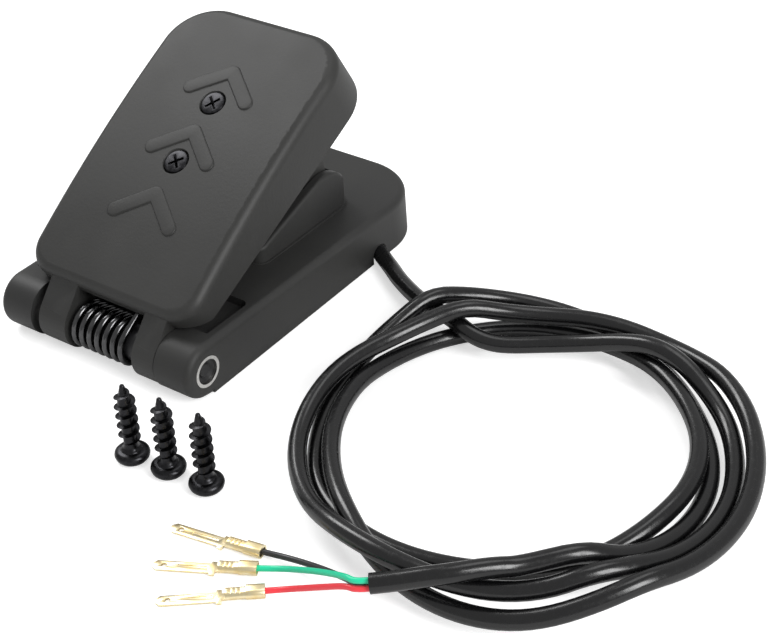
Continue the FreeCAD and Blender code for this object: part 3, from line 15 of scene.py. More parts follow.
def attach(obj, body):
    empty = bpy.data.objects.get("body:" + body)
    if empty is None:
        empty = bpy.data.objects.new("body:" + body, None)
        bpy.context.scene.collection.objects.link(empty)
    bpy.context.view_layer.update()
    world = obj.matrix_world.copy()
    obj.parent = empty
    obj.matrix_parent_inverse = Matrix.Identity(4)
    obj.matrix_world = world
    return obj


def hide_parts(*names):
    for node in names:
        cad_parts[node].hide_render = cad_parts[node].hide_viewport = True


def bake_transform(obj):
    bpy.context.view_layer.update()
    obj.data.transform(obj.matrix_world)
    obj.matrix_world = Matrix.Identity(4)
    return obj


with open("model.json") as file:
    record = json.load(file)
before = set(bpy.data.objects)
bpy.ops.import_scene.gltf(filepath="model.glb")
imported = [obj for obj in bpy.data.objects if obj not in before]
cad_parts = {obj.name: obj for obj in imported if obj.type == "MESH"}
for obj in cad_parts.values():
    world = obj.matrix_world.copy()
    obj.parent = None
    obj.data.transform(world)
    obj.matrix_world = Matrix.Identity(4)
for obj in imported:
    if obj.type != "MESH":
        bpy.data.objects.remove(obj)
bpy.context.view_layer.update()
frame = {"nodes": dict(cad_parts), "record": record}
nodes = frame["nodes"]
scene = bpy.context.scene

MM = 0.001
HINGE_SETBACK = 64
HINGE = Vector((0, -HINGE_SETBACK, 7.2)) * MM
REST_TILT = math.radians(30.4)
TREAD_LAY = Matrix.Translation(HINGE) @ Matrix.Rotation(REST_TILT, 4, "X")
WELD = 0.002 * MM


def in_metres(point):
    """A point drawn from the hinge line, in millimetres, in the part's frame."""
    return Vector((point[0], point[1] - HINGE_SETBACK, point[2])) * MM


# Camera and light

PHOTO_WIDTH = 771
FOCAL_PIXELS = 1749
SENSOR_WIDTH = 36
CAMERA_PLACE = Vector((269.3, -306.6, 256.4)) * MM
CAMERA_AZIMUTH = math.radians(37.13)
CAMERA_ELEVATION = math.radians(34.98)
CAMERA_ROLL = math.radians(-3.0)
NEAREST_SEEN = 0.01
FARTHEST_SEEN = 20

WHITE = "ffffff"
WORLD_LIGHT = 0.5
SEEN_WHITE = 1.0
FLOOR_PAPER = "e6e6e6"
FLOOR_GLOW = 0.55
FLOOR_HALF = 3.0
FLOOR_DROP = 0.0002
SOFT_BOXES = (
    ("overhead_soft_box", (0.05, 0.35, 0.95), (0.06, -0.03, 0), (0.35, 0.6), 1.2),
    ("left_soft_box", (-0.6, 0.1, 0.7), (0.0, -0.03, 0.02), (0.35, 0.5), 4.2),
    ("right_soft_box", (0.9, -0.2, 0.55), (0.0, -0.03, 0.02), (0.4, 0.6), 8.0),
)


def make_camera():
    """The photograph's own camera, by its place, direction and roll."""
    back = Vector((math.sin(CAMERA_AZIMUTH) * math.cos(CAMERA_ELEVATION),
                   -math.cos(CAMERA_AZIMUTH) * math.cos(CAMERA_ELEVATION),
                   math.sin(CAMERA_ELEVATION)))
    right = Vector((math.cos(CAMERA_AZIMUTH), math.sin(CAMERA_AZIMUTH), 0))
    up = back.cross(right)
    turned_right = right * math.cos(CAMERA_ROLL) + up * math.sin(CAMERA_ROLL)
    turned_up = up * math.cos(CAMERA_ROLL) - right * math.sin(CAMERA_ROLL)
    camera = bpy.data.objects.new("camera", bpy.data.cameras.new("camera"))
    scene.collection.objects.link(camera)
    turn = Matrix((turned_right, turned_up, back)).transposed().to_4x4()
    camera.matrix_world = Matrix.Translation(CAMERA_PLACE) @ turn
    camera.data.sensor_width = SENSOR_WIDTH
    camera.data.lens = FOCAL_PIXELS / PHOTO_WIDTH * SENSOR_WIDTH
    camera.data.clip_start = NEAREST_SEEN
    camera.data.clip_end = FARTHEST_SEEN
    scene.camera = camera


def linear(colour):
    """An sRGB hex colour as the linear RGBA that shaders take."""
    levels = [int(colour[start:start + 2], 16) / 255 for start in (0, 2, 4)]
    return tuple(level / 12.92 if level <= 0.04045 else ((level + 0.055) / 1.055) ** 2.4
                 for level in levels) + (1.0,)


def add(tree, kind, settings=(), **links):
    """Adds a shader node, sets its own properties and sockets, and links the sockets that are given.

    A socket is named, or numbered where a node has several of one name: the two colours of a
    colour Mix are its sockets 6 and 7, and the amount is 0.
    """
    made = tree.nodes.new("ShaderNode" + kind)
    for name, value in dict(settings).items():
        if hasattr(made, name):
            setattr(made, name, value)
        else:
            made.inputs[int(name) if name.isdigit() else name].default_value = value
    for name, source in links.items():
        socket = made.inputs[int(name[1:]) if name[1:].isdigit() else name.replace("_", " ")]
        tree.links.new(source, socket)
    return made


def make_world():
    """A soft white surround that the camera sees as plain white."""
    world = bpy.data.worlds.new("studio")
    world.use_nodes = True
    scene.world = world
    tree = world.node_tree
    tree.nodes.clear()
    path = add(tree, "LightPath")
    seen = add(tree, "Math", {"operation": "MAXIMUM"}, _0=path.outputs["Is Camera Ray"],
               _1=path.outputs["Is Transmission Ray"])
    soft = add(tree, "Background", {"Color": linear(WHITE), "Strength": WORLD_LIGHT})
    white = add(tree, "Background", {"Color": linear(WHITE), "Strength": SEEN_WHITE})
    mixed = add(tree, "MixShader", _0=seen.outputs[0], _1=soft.outputs[0], _2=white.outputs[0])
    add(tree, "OutputWorld", Surface=mixed.outputs[0])


def make_floor():
    """A white paper floor that keeps the shadows, and glows a little to the camera alone."""
    shape = bmesh.new()
    bmesh.ops.create_grid(shape, x_segments=1, y_segments=1, size=FLOOR_HALF)
    mesh = bpy.data.meshes.new("floor")
    shape.to_mesh(mesh)
    shape.free()
    floor = bpy.data.objects.new("floor", mesh)
    floor.location = (0, 0, -FLOOR_DROP)
    scene.collection.objects.link(floor)
    paper = bpy.data.materials.new("white_paper_floor")
    paper.use_nodes = True
    tree = paper.node_tree
    tree.nodes.clear()
    path = add(tree, "LightPath")
    matte = add(tree, "BsdfDiffuse", {"Color": linear(FLOOR_PAPER)})
    glow = add(tree, "Emission", {"Color": linear(WHITE), "Strength": FLOOR_GLOW})
    lit = add(tree, "AddShader", _0=matte.outputs[0], _1=glow.outputs[0])
    mixed = add(tree, "MixShader", _0=path.outputs["Is Camera Ray"], _1=matte.outputs[0],
                _2=lit.outputs[0])
    add(tree, "OutputMaterial", Surface=mixed.outputs[0])
    mesh.materials.append(paper)


def make_soft_boxes():
    """Three rectangular lamps: a weak one overhead, one from the left and a strong one from the right."""
    for name, place, aim, size, strength in SOFT_BOXES:
        light = bpy.data.lights.new(name, "AREA")
        light.shape = "RECTANGLE"
        light.size = size[0]
        light.size_y = size[1]
        light.energy = strength
        item = bpy.data.objects.new(name, light)
        item.location = place
        item.rotation_euler = (Vector(aim) - Vector(place)).to_track_quat("-Z", "Y").to_euler()
        scene.collection.objects.link(item)


# Materials

PEBBLE = 0.9
PEBBLE_DEPTH = 0.05
WORN_PATCH = 26
ABS_IOR = 1.5
ABS_SPECULAR = 0.32
DIE_WAVER = 7
WAVER_DEPTH = 0.12
SCUFF = 1.2
PVC_IOR = 1.53
METAL_GRAIN_DEPTH = 0.02
GLASS_WEAVE = 1.1


def material(name):
    """A material of one Principled surface, with its nodes and the piece's own coordinates."""
    made = bpy.data.materials.new(name)
    made.use_nodes = True
    tree = made.node_tree
    tree.nodes.clear()
    surface = add(tree, "BsdfPrincipled")
    add(tree, "OutputMaterial", Surface=surface.outputs[0])
    return made, tree, surface, add(tree, "TexCoord").outputs["Object"]


def spark_textured_abs(name, dark, light, roughness):
    """Moulded plastic from a spark-eroded tool: a pebbled matte skin, worn to a slight sheen in patches.

    The real pebbles, about 0.2 mm wide, are too fine to show, so they are drawn 0.9 mm wide.
    """
    made, tree, surface, place = material(name)
    pebbles = add(tree, "TexNoise", {"Scale": 1 / (PEBBLE * MM), "Detail": 3.0, "Roughness": 0.6},
                  Vector=place)
    patches = add(tree, "TexNoise", {"Scale": 1 / (WORN_PATCH * MM), "Detail": 3.0}, Vector=place)
    blend = add(tree, "MapRange", {"From Min": 0.35, "From Max": 0.68}, Value=patches.outputs[0])
    colour = add(tree, "Mix", {"data_type": "RGBA", "6": linear(dark), "7": linear(light)},
                 _0=blend.outputs[0])
    tree.links.new(colour.outputs[2], surface.inputs["Base Color"])
    sheen = add(tree, "MapRange", {"From Min": 0.3, "From Max": 0.7, "To Min": roughness - 0.05,
                                   "To Max": roughness + 0.06}, Value=patches.outputs[0])
    tree.links.new(sheen.outputs[0], surface.inputs["Roughness"])
    surface.inputs["IOR"].default_value = ABS_IOR
    surface.inputs["Specular IOR Level"].default_value = ABS_SPECULAR
    bump = add(tree, "Bump", {"Strength": 0.55, "Distance": PEBBLE_DEPTH * MM},
               Height=pebbles.outputs[0])
    tree.links.new(bump.outputs[0], surface.inputs["Normal"])
    return made


def glossy_pvc(name, colour, roughness):
    """Extruded PVC: smooth and glossy, with the faint length-wise waver of the die and a few scuffs."""
    made, tree, surface, place = material(name)
    waver = add(tree, "TexNoise", {"Scale": 1 / (DIE_WAVER * MM), "Detail": 2.0}, Vector=place)
    scuffs = add(tree, "TexNoise", {"Scale": 1 / (SCUFF * MM), "Detail": 4.0, "Roughness": 0.7},
                 Vector=place)
    dull = add(tree, "MapRange", {"From Min": 0.45, "From Max": 0.75, "To Min": roughness,
                                  "To Max": roughness + 0.14}, Value=scuffs.outputs[0])
    surface.inputs["Base Color"].default_value = linear(colour)
    surface.inputs["IOR"].default_value = PVC_IOR
    tree.links.new(dull.outputs[0], surface.inputs["Roughness"])
    bump = add(tree, "Bump", {"Strength": 0.25, "Distance": WAVER_DEPTH * MM},
               Height=waver.outputs[0])
    tree.links.new(bump.outputs[0], surface.inputs["Normal"])
    return made


def worked_metal(name, colour, tint, roughness, grain, strength):
    """Drawn, plated or stamped metal: its grain tints it and varies its polish a little.

    The real grain is a few hundredths of a millimetre, too fine to show, so it is drawn as wide as given.
    """
    made, tree, surface, place = material(name)
    fine = add(tree, "TexNoise", {"Scale": 1 / (grain * MM), "Detail": 4.0, "Roughness": 0.65},
               Vector=place)
    spread = add(tree, "MapRange", {"From Min": 0.35, "From Max": 0.7}, Value=fine.outputs[0])
    mixed = add(tree, "Mix", {"data_type": "RGBA", "6": linear(colour), "7": linear(tint)},
                _0=spread.outputs[0])
    tree.links.new(mixed.outputs[2], surface.inputs["Base Color"])
    polish = add(tree, "MapRange", {"From Min": 0.3, "From Max": 0.7, "To Min": roughness * 0.8,
                                    "To Max": roughness * 1.3}, Value=fine.outputs[0])
    tree.links.new(polish.outputs[0], surface.inputs["Roughness"])
    surface.inputs["Metallic"].default_value = 1.0
    bump = add(tree, "Bump", {"Strength": strength, "Distance": METAL_GRAIN_DEPTH * MM},
               Height=fine.outputs[0])
    tree.links.new(bump.outputs[0], surface.inputs["Normal"])
    return made


def solder_masked_laminate():
    """Glass-cloth laminate under green solder mask: the weave shows faintly through it."""
    made, tree, surface, place = material("solder_masked_laminate")
    weave = add(tree, "TexWave", {"Scale": 1 / (GLASS_WEAVE * MM), "Distortion": 0.4}, Vector=place)
    mixed = add(tree, "Mix", {"data_type": "RGBA", "6": linear("123f24"), "7": linear("18502e")},
                _0=weave.outputs[1])
    tree.links.new(mixed.outputs[2], surface.inputs["Base Color"])
    surface.inputs["Roughness"].default_value = 0.3
    return made


FINISHES = {
    # Two near-black mouldings, the pedal a shade lighter than the base, and two smoother nylon parts.
    "housing_plastic": spark_textured_abs("housing_abs", "282828", "2f2f2e", 0.5),
    "pedal_plastic": spark_textured_abs("pedal_abs", "2b2b2a", "323231", 0.48),
    "plug_plastic": spark_textured_abs("plug_nylon", "1b1b1c", "232324", 0.4),
    "sleeve_plastic": spark_textured_abs("sleeve_nylon", "1d1d1e", "28282a", 0.35),
    # Black oxide has a soft dark sheen, nickel mirrors, and tempered wire is grey with sharp glints.
    "black_steel": worked_metal("black_oxide_steel", "29292b", "38383a", 0.3, 0.8, 0.35),
    "nickel_steel": worked_metal("nickel_plated_tube", "e6e5e2", "cfcecb", 0.12, 0.6, 0.15),
    "spring_steel": worked_metal("oil_tempered_spring_wire", "5a5a5b", "484849", 0.16, 1.5, 0.12),
    "magnet_nickel": worked_metal("nickel_plated_magnet", "cbc8c2", "b4b1aa", 0.2, 0.8, 0.2),
    "clamp_steel": worked_metal("zinc_plated_strip", "b3b4b6", "8f9092", 0.3, 0.7, 0.3),
    # Thin tin over brass leaves a pale gold.
    "tab_brass": worked_metal("stamped_tinned_brass", "fff3cf", "f6dc9c", 0.32, 3.0, 0.1),
    "board_laminate": solder_masked_laminate(),
    "chip_resin": spark_textured_abs("chip_resin", "19191a", "202021", 0.45),
    "pad_rubber": spark_textured_abs("pad_rubber", "161616", "1e1e1e", 0.75),
    # The sheath is glossier than the insulation of the cores.
    "cable_sheath": glossy_pvc("black_pvc_sheath", "0d0d0e", 0.2),
    "lead_insulation": glossy_pvc("lead_pvc", "a02b2f", 0.32),
    "core_black": glossy_pvc("core_pvc_black", "2a2a2b", 0.3),
    "core_green": glossy_pvc("core_pvc_green", "1fd3a0", 0.3),
    "core_red": glossy_pvc("core_pvc_red", "ee3a45", 0.3),
}


# Building helpers

def loose_piece(name, shape, slot, smooth=40):
    """Turns a bmesh into a finished piece that no body carries yet."""
    bmesh.ops.recalc_face_normals(shape, faces=shape.faces)
    mesh = bpy.data.meshes.new(name)
    shape.to_mesh(mesh)
    shape.free()
    item = bpy.data.objects.new(name, mesh)
    scene.collection.objects.link(item)
    mesh.materials.append(FINISHES[slot])
    mesh.shade_smooth()
    mesh.set_sharp_from_angle(angle=math.radians(smooth))
    return item


def piece(name, shape, slot, body="base", smooth=40):
    """Turns a bmesh into a finished piece that rides on its body."""
    item = loose_piece(name, shape, slot, smooth)
    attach(item, body)
    return item


def baked_mesh(item):
    """A new mesh of a piece as its modifiers, or its curve's settings, leave it."""
    bpy.context.view_layer.update()
    evaluated = item.evaluated_get(bpy.context.evaluated_depsgraph_get())
    return bpy.data.meshes.new_from_object(evaluated)


def ring_edges(shape, corners):
    """The edges that join corners in order, round to the first."""
    return [shape.edges.new(pair) for pair in zip(corners, corners[1:] + corners[:1])]


def spun(shape, side, steps):
    """Turns a side line of (radius, height) in millimetres about the z axis, with its poles closed."""
    line = [shape.verts.new((radius * MM, 0, height * MM)) for radius, height in side]
    edges = [shape.edges.new(pair) for pair in zip(line, line[1:])]
    bmesh.ops.spin(shape, geom=line + edges, cent=(0, 0, 0), axis=(0, 0, 1), angle=math.tau,
                   steps=steps, use_merge=True)
    bmesh.ops.remove_doubles(shape, verts=shape.verts, dist=WELD)


def cord_piece(name, points, radius, slot):
    """A round cord on one smooth spline, all lengths in metres."""
    curve = bpy.data.curves.new(name, "CURVE")
    curve.dimensions = "3D"
    spline = curve.splines.new("NURBS")
    spline.points.add(len(points) - 1)
    for spot, point in zip(spline.points, points):
        spot.co = (*point, 1)
        spot.radius = radius
    spline.order_u = 3
    spline.use_endpoint_u = True
    spline.resolution_u = 4
    curve.bevel_depth = 1.0
    curve.bevel_resolution = 7
    curve.use_fill_caps = True
    item = bpy.data.objects.new(name, curve)
    scene.collection.objects.link(item)
    curve.materials.append(FINISHES[slot])
    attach(item, "base")
    return item


def spline_length(item):
    """The length of a cord along its own spline, read from the curve with no bevel."""
    depth = item.data.bevel_depth
    item.data.bevel_depth = 0
    mesh = baked_mesh(item)
    item.data.bevel_depth = depth
    points = [vert.co.copy() for vert in mesh.vertices]
    bpy.data.meshes.remove(mesh)
    return sum((far - near).length for near, far in zip(points, points[1:]))


# The cable, laid as in the part's source

CORD_RADIUS = 2.2
CORD_LIE = 2.25
STRAND_GAP = 0.9
EXIT_PLACE = Vector((31.5, 70.5, 0))
EXIT_TURN = math.radians(33)
LEAD_ROUTE = (
    (5.5, -3.6), (12.1, -8.5), (19.3, -12.9), (26.9, -16.9), (34.0, -20.1), (40.8, -22.9),
    (47.5, -23.7))
COIL_MIDDLE = (76.6, -51.6)
COIL_TURN = 37
COIL_REACHES = (
    38.4, 47.4, 50.5, 51.1, 46.4, 51.7, 55.9, 43.4, 48.7, 39.5, 38.8, 47.0, 57.6, 42.0, 45.5)
FREE_END_ROUTE = ((91.0, -102.3), (81.3, -109.1))
LEAD_TURN = 0.9
TAIL_TURN = 0.01
TIP_TURN = 0.1
LEAD_BEFORE = 0.96
OVER_LEAD_UNTIL = 2.2
OVER_LEAD_FROM = 3.9
CLIMB = (2.1, 2.45)
CLIMBED_BEFORE = 1.45
ON_TOP_FROM = 4.46
SAMPLE_STEP = 2.5
SAMPLES_PER_TURN = 96
NEIGHBOURS = 10
SETTLING_ROUNDS = 1500
SETTLING = 0.992
NODE_STEP = 3
LEAD_STEP = 2

CORE_RADIUS = 0.68
CORE_OFFSET = 0.43 * CORD_RADIUS
CORE_START = 3
CORES = (
    ("black", ((71.0, -110.7, 8.4), (61.8, -107.8, 4.4), (52.6, -106.6, 1.5)), (46.3, -108.1),
     189.6),
    ("green", ((72.8, -112.8, 11.6), (63.0, -110.9, 6.6), (53.6, -110.0, 1.7)), (48.6, -112.7),
     207.5),
    ("red", ((73.3, -113.7, 10.0), (65.9, -114.1, 6.0), (58.0, -114.5, 1.7)), (54.2, -117.1),
     218.5),
)
BARREL_LIE = 1.35
GRIP_REACH = 3.8
FLAT_WITHIN = math.radians(1)
SHEARED_EDGE = math.radians(32)
SHEARED_BREAK = 0.07


def from_exit(x, y, z=0):
    """A point beside the cable's exit in the wall, in millimetres from the hinge line."""
    return EXIT_PLACE + Vector((x, y, z))


def coil_place(turn):
    """Plan point of the coil: 1 is the first turn's far side, and each quarter is a reach."""
    quarter = min(int((turn - 1) * 4 + 1e-9), len(COIL_REACHES) - 2)
    through = math.radians(90 * ((turn - 1) * 4 - quarter))
    heading = math.radians(COIL_TURN + 90 - 90 * quarter)
    start = Vector((math.cos(heading), math.sin(heading), 0)) * COIL_REACHES[quarter]
    side = Vector((math.sin(heading), -math.cos(heading), 0)) * COIL_REACHES[quarter + 1]
    return from_exit(*COIL_MIDDLE) + start * math.cos(through) + side * math.sin(through)


def lies_over(later, earlier):
    """Whether the later strand lies over the earlier one where they cross, both given by turn.

    The first and the last turns cross over the lead, one strand climbs over the first turn, and the
    last stretch lies on top. Everywhere else the earlier strand is the upper one.
    """
    if earlier < LEAD_BEFORE:
        return later < OVER_LEAD_UNTIL or later > OVER_LEAD_FROM
    if CLIMB[0] < later < CLIMB[1] and earlier < CLIMBED_BEFORE:
        return True
    return later > ON_TOP_FROM


def run_samples(corners, turn):
    """Plan points along straight runs, each with the turn it belongs to."""
    points = []
    for near, far in zip(corners, corners[1:]):
        steps = max(1, round((far - near).length / SAMPLE_STEP))
        points += [(near + (far - near) * (step / steps), turn) for step in range(steps)]
    return points


def coil_samples():
    """Plan points of the cable, from the lead's start to its free end, with the turn of each.

    Also returns where the coil and the free end start among them.
    """
    turns = 1 + (len(COIL_REACHES) - 1) / 4
    lead = [from_exit(0, 0)] + [from_exit(x, y) for x, y in LEAD_ROUTE] + [coil_place(1)]
    points = run_samples(lead, LEAD_TURN)
    first = len(points)
    count = round((turns - 1) * SAMPLES_PER_TURN)
    points += [(coil_place(1 + step / SAMPLES_PER_TURN), 1 + step / SAMPLES_PER_TURN)
               for step in range(count)]
    last = len(points)
    tail = [coil_place(turns)] + [from_exit(x, y) for x, y in FREE_END_ROUTE]
    points += run_samples(tail, turns + TAIL_TURN)
    points.append((tail[-1], turns + TIP_TURN))
    return points, first, last


def laid_heights(points):
    """Lets every strand rest on the strands that it crosses, and smooths the way over them."""
    need = 2 * CORD_RADIUS + STRAND_GAP
    pairs = []
    for index, (place, turn) in enumerate(points):
        for other in range(index - NEIGHBOURS):
            away = (place - points[other][0]).length
            if away < need:
                rise = math.sqrt(need * need - away * away)
                over = lies_over(turn, points[other][1])
                pairs.append((index, other, rise) if over else (other, index, rise))
    heights = [CORD_LIE] * len(points)
    for _ in range(SETTLING_ROUNDS):
        pulled = [CORD_LIE + (height - CORD_LIE) * SETTLING for height in heights]
        heights = [pulled[0]] + [0.25 * a + 0.5 * b + 0.25 * c
                                 for a, b, c in zip(pulled, pulled[1:], pulled[2:])] + [pulled[-2]]
        for upper, lower, rise in pairs:
            if heights[upper] < heights[lower] + rise:
                heights[upper] = heights[lower] + rise
    return heights


def make_cable():
    """The sheath from the wall through its loose coil; returns it, its route, its end and its way."""
    points, first, last = coil_samples()
    heights = laid_heights(points)
    laid = [place + Vector((0, 0, height)) for (place, _), height in zip(points, heights)]
    marks = [0] + list(range(2 * LEAD_STEP, first, LEAD_STEP))
    marks += list(range(first, last, NODE_STEP))
    marks += list(range(last + LEAD_STEP, len(points) - LEAD_STEP, LEAD_STEP)) + [len(points) - 1]
    way = (laid[-1] - laid[-3]).normalized()
    end = laid[-1] + way * 2 * CORD_RADIUS
    route = [laid[mark] for mark in marks] + [end]
    straight_out = Vector((math.cos(EXIT_TURN), -math.sin(EXIT_TURN), 0))
    route.insert(1, laid[0] + straight_out * 2 * CORD_RADIUS)
    cable = cord_piece("cable_sheath", [in_metres(point) for point in route], CORD_RADIUS * MM,
                       "cable_sheath")
    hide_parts("cable")
    return cable, route, end, way


def make_terminal(colour):
    """A stamped tab terminal: flat faces whole again, sheared edges broken, curled crimps smooth."""
    shape = bmesh.new()
    shape.from_mesh(nodes["terminal_" + colour].data)
    bmesh.ops.remove_doubles(shape, verts=shape.verts, dist=WELD)
    bmesh.ops.dissolve_limit(shape, angle_limit=FLAT_WITHIN, verts=shape.verts, edges=shape.edges)
    tab = piece("tab_terminal_" + colour, shape, "tab_brass", smooth=35)
    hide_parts("terminal_" + colour)
    modifier = tab.modifiers.new("soft", "BEVEL")
    modifier.width = SHEARED_BREAK * MM
    modifier.segments = 2
    modifier.limit_method = "ANGLE"
    modifier.angle_limit = SHEARED_EDGE
    modifier.harden_normals = False
    broken = baked_mesh(tab)
    tab.modifiers.clear()
    sharp = tab.data
    tab.data = broken
    bpy.data.meshes.remove(sharp)
    broken.shade_smooth()
    broken.set_sharp_from_angle(angle=SHEARED_EDGE)
    return tab


def make_cores(cable, route, end, way):
    """The three cores from the sheath's end to their terminals."""
    side = Vector((-way.y, way.x, 0)).normalized()
    up = way.cross(side)
    low = up * (-0.5 * CORE_OFFSET)
    apart = side * (0.9 * CORE_OFFSET)
    spread = {"black": low - apart, "green": up * CORE_OFFSET, "red": low + apart}
    going = []
    for colour, bends, (x, y), heading in CORES:
        forward = Vector((math.cos(math.radians(heading)), math.sin(math.radians(heading)), 0))
        mouth = from_exit(x, y, BARREL_LIE)
        points = [end + spread[colour], end + spread[colour] + way * CORE_START]
        points += [from_exit(*bend) for bend in bends] + [mouth, mouth + forward * GRIP_REACH]
        core = cord_piece("core_" + colour, [in_metres(point) for point in points],
                          CORE_RADIUS * MM, "core_" + colour)
        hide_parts("wire_" + colour)
        tab = make_terminal(colour)
        length = spline_length(core)
        going += [core, tab]
    length = spline_length(cable)


# The return spring

SPRING_RADIUS = 5.55
SPRING_PITCH = 2.58
SPRING_START = -7.9
SPRING_TURNS = 7
WIRE_RADIUS = 0.85
WIRE_BREAK = 0.15
LEG_SLOPE = 8
LOWER_LEG = 22
UPPER_LEG = 26
WIRE_SIDES = 14
COIL_STEPS = 160


def draw_leg(shape, ring, way, run):
    """Draws the wire straight on from a ring of its edges by a run, and breaks the edge of its end."""
    for length, radius in ((run, WIRE_RADIUS), (WIRE_BREAK, WIRE_RADIUS - WIRE_BREAK)):
        drawn = bmesh.ops.extrude_edge_only(shape, edges=ring)["geom"]
        corners = [part for part in drawn if isinstance(part, bmesh.types.BMVert)]
        ring = [part for part in drawn if isinstance(part, bmesh.types.BMEdge)]
        bmesh.ops.translate(shape, verts=corners, vec=way * (length * MM))
        middle = sum((corner.co for corner in corners), Vector()) / len(corners)
        bmesh.ops.scale(shape, verts=corners, vec=Vector((1, 1, 1)) * (radius / WIRE_RADIUS),
                        space=Matrix.Translation(-middle))
    bmesh.ops.contextual_create(shape, geom=ring)


def make_return_spring():
    """Round spring wire wound on the sleeve, one leg along the base and one up under the pedal."""
    wound = SPRING_TURNS * 360 + (LEG_SLOPE - 90) - (math.degrees(REST_TILT) + 90)
    advance = SPRING_PITCH * wound / 360
    start = math.radians(LEG_SLOPE - 90)
    finish = start - math.radians(wound)
    shape = bmesh.new()
    section = bmesh.ops.create_circle(shape, segments=WIRE_SIDES, radius=WIRE_RADIUS * MM)["verts"]
    first = list(shape.edges)
    lay = Matrix.Translation(HINGE) @ Matrix.Rotation(start, 4, "X")
    lay = lay @ Matrix.Translation(Vector((SPRING_START, SPRING_RADIUS, 0)) * MM)
    bmesh.ops.transform(shape, matrix=lay, verts=section)
    coil = bmesh.ops.spin(shape, geom=section + first, cent=HINGE, axis=(1, 0, 0),
                          angle=-math.radians(wound), steps=COIL_STEPS,
                          dvec=(advance * MM / COIL_STEPS, 0, 0))
    last = [part for part in coil["geom_last"] if isinstance(part, bmesh.types.BMEdge)]
    draw_leg(shape, first, -Vector((0, math.sin(start), -math.cos(start))), LOWER_LEG)
    draw_leg(shape, last, Vector((0, math.sin(finish), -math.cos(finish))), UPPER_LEG)
    spring = loose_piece("torsion_spring", shape, "spring_steel")
    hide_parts("return_spring")
    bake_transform(spring)


# Screws

MOUNTING_SCREW_PLACES = ((31.6, -28.0), (42.0, -27.2), (53.0, -26.8))
SHANK = 1.6
POINT_START = 17.0
SCREW_TOP = 21.5
TIP_START = SCREW_TOP - 0.6
TIP_RADIUS = 0.62
MOUNTING_SCREW_SIDE = (
    (0, 0.05), (2.7, 0.05), (3.45, 0.4), (3.95, 1.0), (4.18, 1.75), (4.05, 2.35), (3.6, 2.8),
    (3.0, 3.0), (2.5, 3.05), (2.42, 3.3), (2.2, 3.45), (1.85, 3.75), (1.72, 4.2), (SHANK, 4.7),
    (SHANK, POINT_START), (TIP_RADIUS, TIP_START), (0.52, SCREW_TOP - 0.25),
    (0.3, SCREW_TOP - 0.06), (0, SCREW_TOP))
SCREW_STEPS = 44
THREAD_START = 4.9
THREAD_END = 20.6
THREAD_PITCH = 2.65
THREAD_SECTION = ((1.0, -0.26), (2.0, -0.03), (2.0, 0.03), (1.0, 0.26))
THREAD_HEADING = math.radians(230)
THREAD_MIDDLE = 1.5
CREST = 0.98
SUNK_CREST = -0.1
ROOT_DEPTH = 0.25
RISES_OVER = 1.4
RUNS_OUT_OVER = 2.4

SCREW_SEAT = 12.0
PAN_TOP = SCREW_SEAT + 1.85
PEDAL_SCREW_SIDE = (
    (2.85, PAN_TOP), (3.12, PAN_TOP - 0.1), (3.32, PAN_TOP - 0.4), (3.4, PAN_TOP - 0.9),
    (3.4, SCREW_SEAT + 0.05), (1.25, SCREW_SEAT + 0.02), (1.2, 7.0), (0.0, 6.6))
PEDAL_SCREW_STEPS = 48
PEDAL_SCREWS = ((43.1, 42), (61.2, 49))
CROSS_MOUTH = (2.2, 0.38)
CROSS_FOOT = (0.8, 0.24)
CROSS_DEPTH = 1.5


def shank_radius(height):
    """The screw's core at a height: a plain shank, then a blunt point."""
    if height < POINT_START:
        return SHANK
    return SHANK - (SHANK - TIP_RADIUS) * (height - POINT_START) / (TIP_START - POINT_START)


def make_thread():
    """A coarse sharp thread that rises out of the shank and runs out on the point."""
    thread = bmesh.new()
    turns = (THREAD_END - THREAD_START) / THREAD_PITCH
    section = [thread.verts.new((radius * MM, 0, (THREAD_START + height) * MM))
               for radius, height in THREAD_SECTION]
    bmesh.ops.spin(thread, geom=section + ring_edges(thread, section), cent=(0, 0, 0),
                   axis=(0, 0, 1), angle=math.tau * turns, steps=int(turns * SCREW_STEPS),
                   dvec=(0, 0, THREAD_PITCH * MM / SCREW_STEPS))
    for vert in thread.verts:
        high = vert.co.z / MM
        radius = math.hypot(vert.co.x, vert.co.y)
        crest = radius > THREAD_MIDDLE * MM
        shown = min(1.0, (high - THREAD_START) / RISES_OVER, (THREAD_END - high) / RUNS_OUT_OVER)
        wanted = shank_radius(high) + (CREST * max(shown, SUNK_CREST) if crest else -ROOT_DEPTH)
        vert.co.x *= wanted * MM / radius
        vert.co.y *= wanted * MM / radius
    ends = [edge for edge in thread.edges if edge.is_boundary]
    bmesh.ops.holes_fill(thread, edges=ends, sides=8)
    holder = bpy.data.meshes.new("thread")
    thread.to_mesh(holder)
    thread.free()
    return holder


def make_mounting_screws():
    """Three coarse-threaded screws on their heads: rounded head, stepped neck, thread, blunt point."""
    for index, (x, y) in enumerate(MOUNTING_SCREW_PLACES):
        shape = bmesh.new()
        spun(shape, MOUNTING_SCREW_SIDE, SCREW_STEPS)
        holder = make_thread()
        shape.from_mesh(holder)
        bpy.data.meshes.remove(holder)
        bmesh.ops.rotate(shape, verts=shape.verts, cent=(0, 0, 0),
                         matrix=Matrix.Rotation(THREAD_HEADING, 3, "Z"))
        bmesh.ops.translate(shape, verts=shape.verts, vec=in_metres((x, y, 0)))
        screw = piece("mounting_screw_%d" % (index + 1), shape, "black_steel")
        if index == 0:
            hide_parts("mounting_screws")


